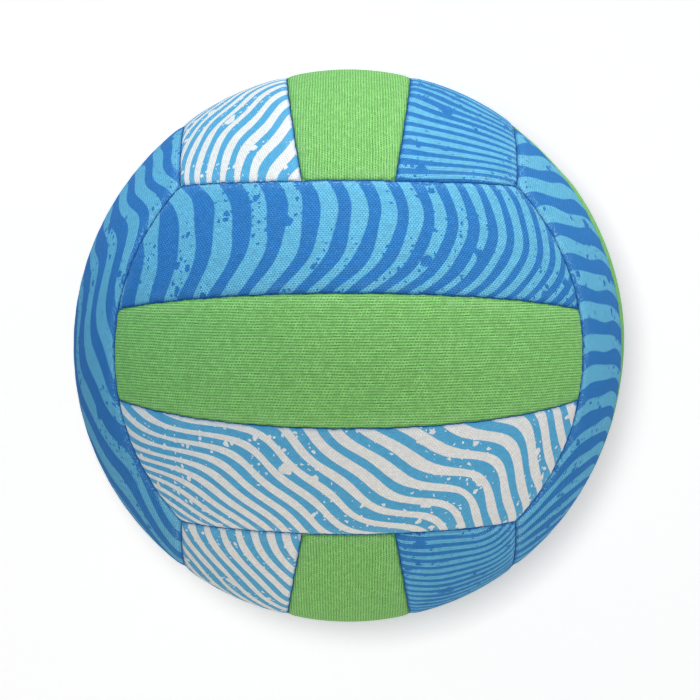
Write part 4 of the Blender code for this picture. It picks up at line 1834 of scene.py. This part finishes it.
@dataclass(frozen=True)
class PatchFinish(Finish):
    """Plain-woven cloth."""

    warp: Colour
    weft: Colour
    yarn: float = 0.55 * MM
    crossing: float = 0.25
    fibre_scale: float = 1500.0
    fibre_share: float = 0.35
    roughness: float = 0.75
    fibre_roughness: float = 0.2
    relief: float = 0.15 * MM
    relief_strength: float = 0.6

    def dress_nodes(self, desk: NodeDesk, shader: bpy.types.Node) -> None:
        """Weaves two yarns over and under each other.

        Args:
            desk: The finish's nodes.
            shader: Its shader.
        """
        place = desk.object_place()
        _, y, z = desk.parts(place)
        first, second = (desk.math("SINE", desk.times(part, math.pi / self.yarn)) for part in (y, z))
        woven = desk.times(first, second)
        fibre = desk.noise(place, self.fibre_scale, 3.0)
        colour = desk.mix(desk.step(woven, -self.crossing, self.crossing), self.warp, self.weft)
        colour = desk.mix(desk.times(fibre, self.fibre_share), colour, self.weft, "MULTIPLY")
        desk.feed(shader.inputs["Base Color"], colour)
        rough = desk.plus(self.roughness, desk.times(fibre, self.fibre_roughness))
        desk.feed(shader.inputs["Roughness"], rough)
        height = desk.math("ABSOLUTE", woven)
        desk.feed(shader.inputs["Normal"], desk.bump(height, self.relief, self.relief_strength))


class Finishes:
    """The ball's finishes."""

    green = ClothFinish(
        "green_knit",
        shade(135, 196, 111),
        shade(40, 84, 32),
        row_pitch=0.99 * MM,
        loop_pitch=1.24 * MM,
        stagger=-0.36,
        dash=0.85,
        pinhole_share=1.0,
        heather_share=0.26,
        # Painted shade in the seam grooves, dark green.
        valley=shade(30, 96, 62),
    )
    blue = PrintFinish(
        "blue_print",
        shade(103, 179, 208),
        shade(24, 66, 120),
        pale=shade(168, 214, 236),
        ink=shade(52, 121, 183),
        splash=0.7,
        speck_share=0.35,
    )
    white = PrintFinish(
        "white_print",
        shade(226, 223, 216),
        shade(96, 108, 118),
        pinhole_share=0.26,
        heather_share=0.12,
        # Painted shade in the seam grooves, tinted blue as painted bounced light from the blue cloth.
        valley=shade(62, 138, 186),
        outer_side=-1.0,
        ink=shade(86, 164, 201),
        splash=0.62,
        splash_is_ink=False,
        speck_share=0.15,
    )
    thread = ThreadFinish("seam_thread", shade(12, 66, 124), shade(34, 104, 164))
    bladder = RubberFinish("bladder_rubber", shade(58, 58, 60), shade(128, 126, 122), 0.5)
    valve = RubberFinish("valve_rubber", shade(52, 52, 53), shade(104, 103, 100), 0.3)
    plug = RubberFinish("plug_rubber", shade(86, 86, 87), shade(130, 129, 126), 0.3)
    patch = PatchFinish("patch_cloth", shade(196, 195, 190), shade(176, 175, 170))


@dataclass(frozen=True)
class Lamp:
    """A soft box that looks at the ball."""

    name: str
    place: tuple[float, float, float]
    wide: float
    high: float
    watts: float
    tint: tuple[float, float, float] = (1.0, 1.0, 1.0)
    lights_floor: bool = False

    def hang(self, floor: bpy.types.Object) -> None:
        """Hangs the lamp in the scene.

        Args:
            floor: The floor, which a lamp may be flagged away from.
        """
        data = bpy.data.lights.new(self.name, "AREA")
        data.shape, data.size, data.size_y = "RECTANGLE", self.wide, self.high
        data.energy, data.color = self.watts, self.tint
        lamp = bpy.data.objects.new(self.name, data)
        lamp.location = self.place
        lamp.rotation_euler = (-Vector(self.place)).to_track_quat("-Z", "Y").to_euler()
        bpy.context.scene.collection.objects.link(lamp)
        if not self.lights_floor:
            flagged = bpy.data.collections.new(f"{self.name}_flag")
            flagged.objects.link(floor)
            flagged.collection_objects[0].light_linking.link_state = "EXCLUDE"
            lamp.light_linking.receiver_collection = flagged


@dataclass
class Studio:
    """A plain pale floor, soft light and the camera."""

    floor_height: float = -104.6 * MM
    floor_half: float = 3.0
    floor_near: float = 150 * MM
    floor_far: float = 400 * MM
    floor_bounce: Colour = (0.28, 0.28, 0.28, 1.0)
    floor_paint: Colour = (0.99, 0.99, 0.99, 1.0)
    floor_glow: Colour = (0.44, 0.41, 0.39, 1.0)
    ambient: Colour = (0.17, 0.21, 0.25, 1.0)
    backdrop: Colour = (1.0, 1.0, 1.0, 1.0)
    lamps: tuple[Lamp, ...] = (
        Lamp("front_lamp", (-0.052, 0.110, 1.05), 0.12, 0.12, 5.4, (1.0, 0.97, 0.95), True),
        Lamp("upper_box", (0.0, 1.15, 0.12), 0.9, 0.40, 9.5),
        Lamp("lower_box", (-0.05, -1.19, 0.02), 0.9, 0.22, 8.3, (1.0, 0.94, 0.88)),
        Lamp("right_box", (1.06, 0.46, 0.30), 0.5, 0.60, 7.5, (0.89, 0.93, 1.0)),
        Lamp("left_box", (-0.92, 0.74, 0.28), 0.5, 0.60, 5.2, (0.44, 0.72, 1.0)),
    )
    ball_pixels: float = 276.2
    frame_pixels: float = 700.0
    camera_distance: float = 0.95
    camera_tilt: float = math.radians(3.1)
    camera_clip: Span = (0.05, 20.0)
    sensor: float = 36.0
    centre_offset: Span = (-1.25, 4.4)

    def build(self) -> None:
        """Sets up everything that isn't the ball."""
        floor = self.lay_floor()
        self.light_world()
        for lamp in self.lamps:
            lamp.hang(floor)
        self.set_camera()
        bpy.context.scene.view_settings.view_transform = "Standard"

    def seen_share(self, desk: NodeDesk) -> Socket:
        """Whether a ray comes from the camera, a mirror or glass.

        Args:
            desk: The nodes of the floor or the world.

        Returns:
            1 where it does, and otherwise 0.
        """
        path = desk.node("ShaderNodeLightPath").outputs
        seen = desk.most(path["Is Camera Ray"], path["Is Glossy Ray"])
        return desk.most(seen, path["Is Transmission Ray"])

    def paint_floor(self) -> bpy.types.Material:
        """A pale paint that looks white, keeps the ball's shadow and is clear from below.

        Returns:
            The material.
        """
        material = bpy.data.materials.new("studio_floor_paint")
        material.use_nodes = True
        desk = NodeDesk(material.node_tree)
        material.node_tree.nodes.clear()
        plain = desk.node("ShaderNodeBsdfDiffuse", {"Color": self.floor_bounce})
        shown = desk.node("ShaderNodeBsdfDiffuse", {"Color": self.floor_paint})
        glow = desk.node("ShaderNodeEmission", {"Color": self.floor_glow})
        near = desk.node("ShaderNodeAddShader", {0: shown.outputs[0], 1: glow.outputs[0]})
        white = desk.node("ShaderNodeEmission", {"Strength": 1.0})
        place = {0: desk.object_place()}
        reach = desk.node("ShaderNodeVectorMath", place, operation="LENGTH").outputs["Value"]
        seen = desk.shaders(desk.step(reach, self.floor_near, self.floor_far), near, white)
        both = desk.shaders(self.seen_share(desk), plain, seen)
        below = desk.node("ShaderNodeNewGeometry").outputs["Backfacing"]
        sided = desk.shaders(below, both, desk.node("ShaderNodeBsdfTransparent"))
        desk.node("ShaderNodeOutputMaterial", {0: sided.outputs[0]})
        return material

    def lay_floor(self) -> bpy.types.Object:
        """Lays the floor under the ball.

        Returns:
            The floor.
        """
        draft = MeshDraft()
        half = self.floor_half
        corners = np.array([[-half, -half], [half, -half], [half, half], [-half, half]])
        points = np.column_stack([corners, np.full(len(corners), self.floor_height)])
        draft.add_faces(draft.add_points(points)[None])
        floor = draft.make("studio_floor")
        floor.data.materials.append(self.paint_floor())
        return floor

    def light_world(self) -> None:
        """Even light from all round, seen as white."""
        world = bpy.data.worlds.new("studio_world")
        bpy.context.scene.world = world
        world.use_nodes = True
        desk = NodeDesk(world.node_tree)
        world.node_tree.nodes.clear()
        plain = desk.node("ShaderNodeBackground", {"Color": self.ambient})
        white = desk.node("ShaderNodeBackground", {"Color": self.backdrop})
        both = desk.shaders(self.seen_share(desk), plain, white)
        desk.node("ShaderNodeOutputWorld", {0: both.outputs[0]})

    def set_camera(self) -> None:
        """Looks down on the ball from a little above its middle."""
        data = bpy.data.cameras.new("studio_camera")
        data.sensor_fit, data.sensor_width = "HORIZONTAL", self.sensor
        focal = self.ball_pixels * math.sqrt((self.camera_distance / BALL_RADIUS) ** 2 - 1)
        data.lens = focal * self.sensor / self.frame_pixels
        data.clip_start, data.clip_end = self.camera_clip
        right = Vector((1, 0, 0))
        back = Vector((0, math.sin(self.camera_tilt), math.cos(self.camera_tilt)))
        up = back.cross(right)
        pixel = self.camera_distance / focal
        aside, above = self.centre_offset
        place = back * self.camera_distance - right * (aside * pixel) - up * (above * pixel)
        camera = bpy.data.objects.new("studio_camera", data)
        columns = Matrix((right, up, back)).transposed().to_4x4()
        camera.matrix_world = Matrix.Translation(place) @ columns
        bpy.context.scene.collection.objects.link(camera)
        bpy.context.scene.camera = camera


def report(made: bpy.types.Object) -> None:
    """Logs a finished piece."""
    LOG.info("%s: %d faces", made.name, len(made.data.polygons))


def build_cover(layout: SeamLayout, valve: ValveSet) -> None:
    """Builds and dresses the eighteen panels.

    Args:
        layout: The seam lines.
        valve: The valve, which opens its hole in one panel.
    """
    cloths = {
        StripColour.WHITE: Finishes.white,
        StripColour.GREEN: Finishes.green,
        StripColour.BLUE: Finishes.blue,
    }
    for face in Face:
        for colour, cloth in cloths.items():
            panel = CoverPanel(PanelOutline(layout, face, colour))
            made = panel.build()
            if panel.has_valve:
                valve.open_panel(panel, made)
            panel.dress(made, cloth)
            report(made)


def build_stitching(layout: SeamLayout) -> None:
    """Builds and dresses the twenty-four runs of thread.

    Args:
        layout: The seam lines.
    """
    for face in Face:
        for side in (1, -1):
            for outer in (False, True):
                thread = SeamThread(layout, face, side, outer)
                made = thread.build()
                thread.dress(made, Finishes.thread)
                report(made)


def build_inside(valve: ValveSet) -> None:
    """Builds and dresses the bladder and the valve.

    Args:
        valve: The valve.
    """
    bladder = Bladder(valve.axis)
    made = bladder.build()
    bladder.dress(made, Finishes.bladder)
    report(made)
    for build, node, finish in (
        (valve.build_housing, "valve_housing", Finishes.valve),
        (valve.build_plug, "valve_plug", Finishes.plug),
        (valve.build_patch, "valve_patch", Finishes.patch),
    ):
        made = build()
        valve.dress(made, node, finish)
        report(made)


def main() -> None:
    """Builds the ball around its frame, then the studio."""
    logging.basicConfig(level=logging.INFO, format="%(message)s")
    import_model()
    layout = SeamLayout()
    valve = ValveSet(layout.valve_axis())
    build_cover(layout, valve)
    build_stitching(layout)
    build_inside(valve)
    Studio().build()


if __name__ == "__main__":
    main()
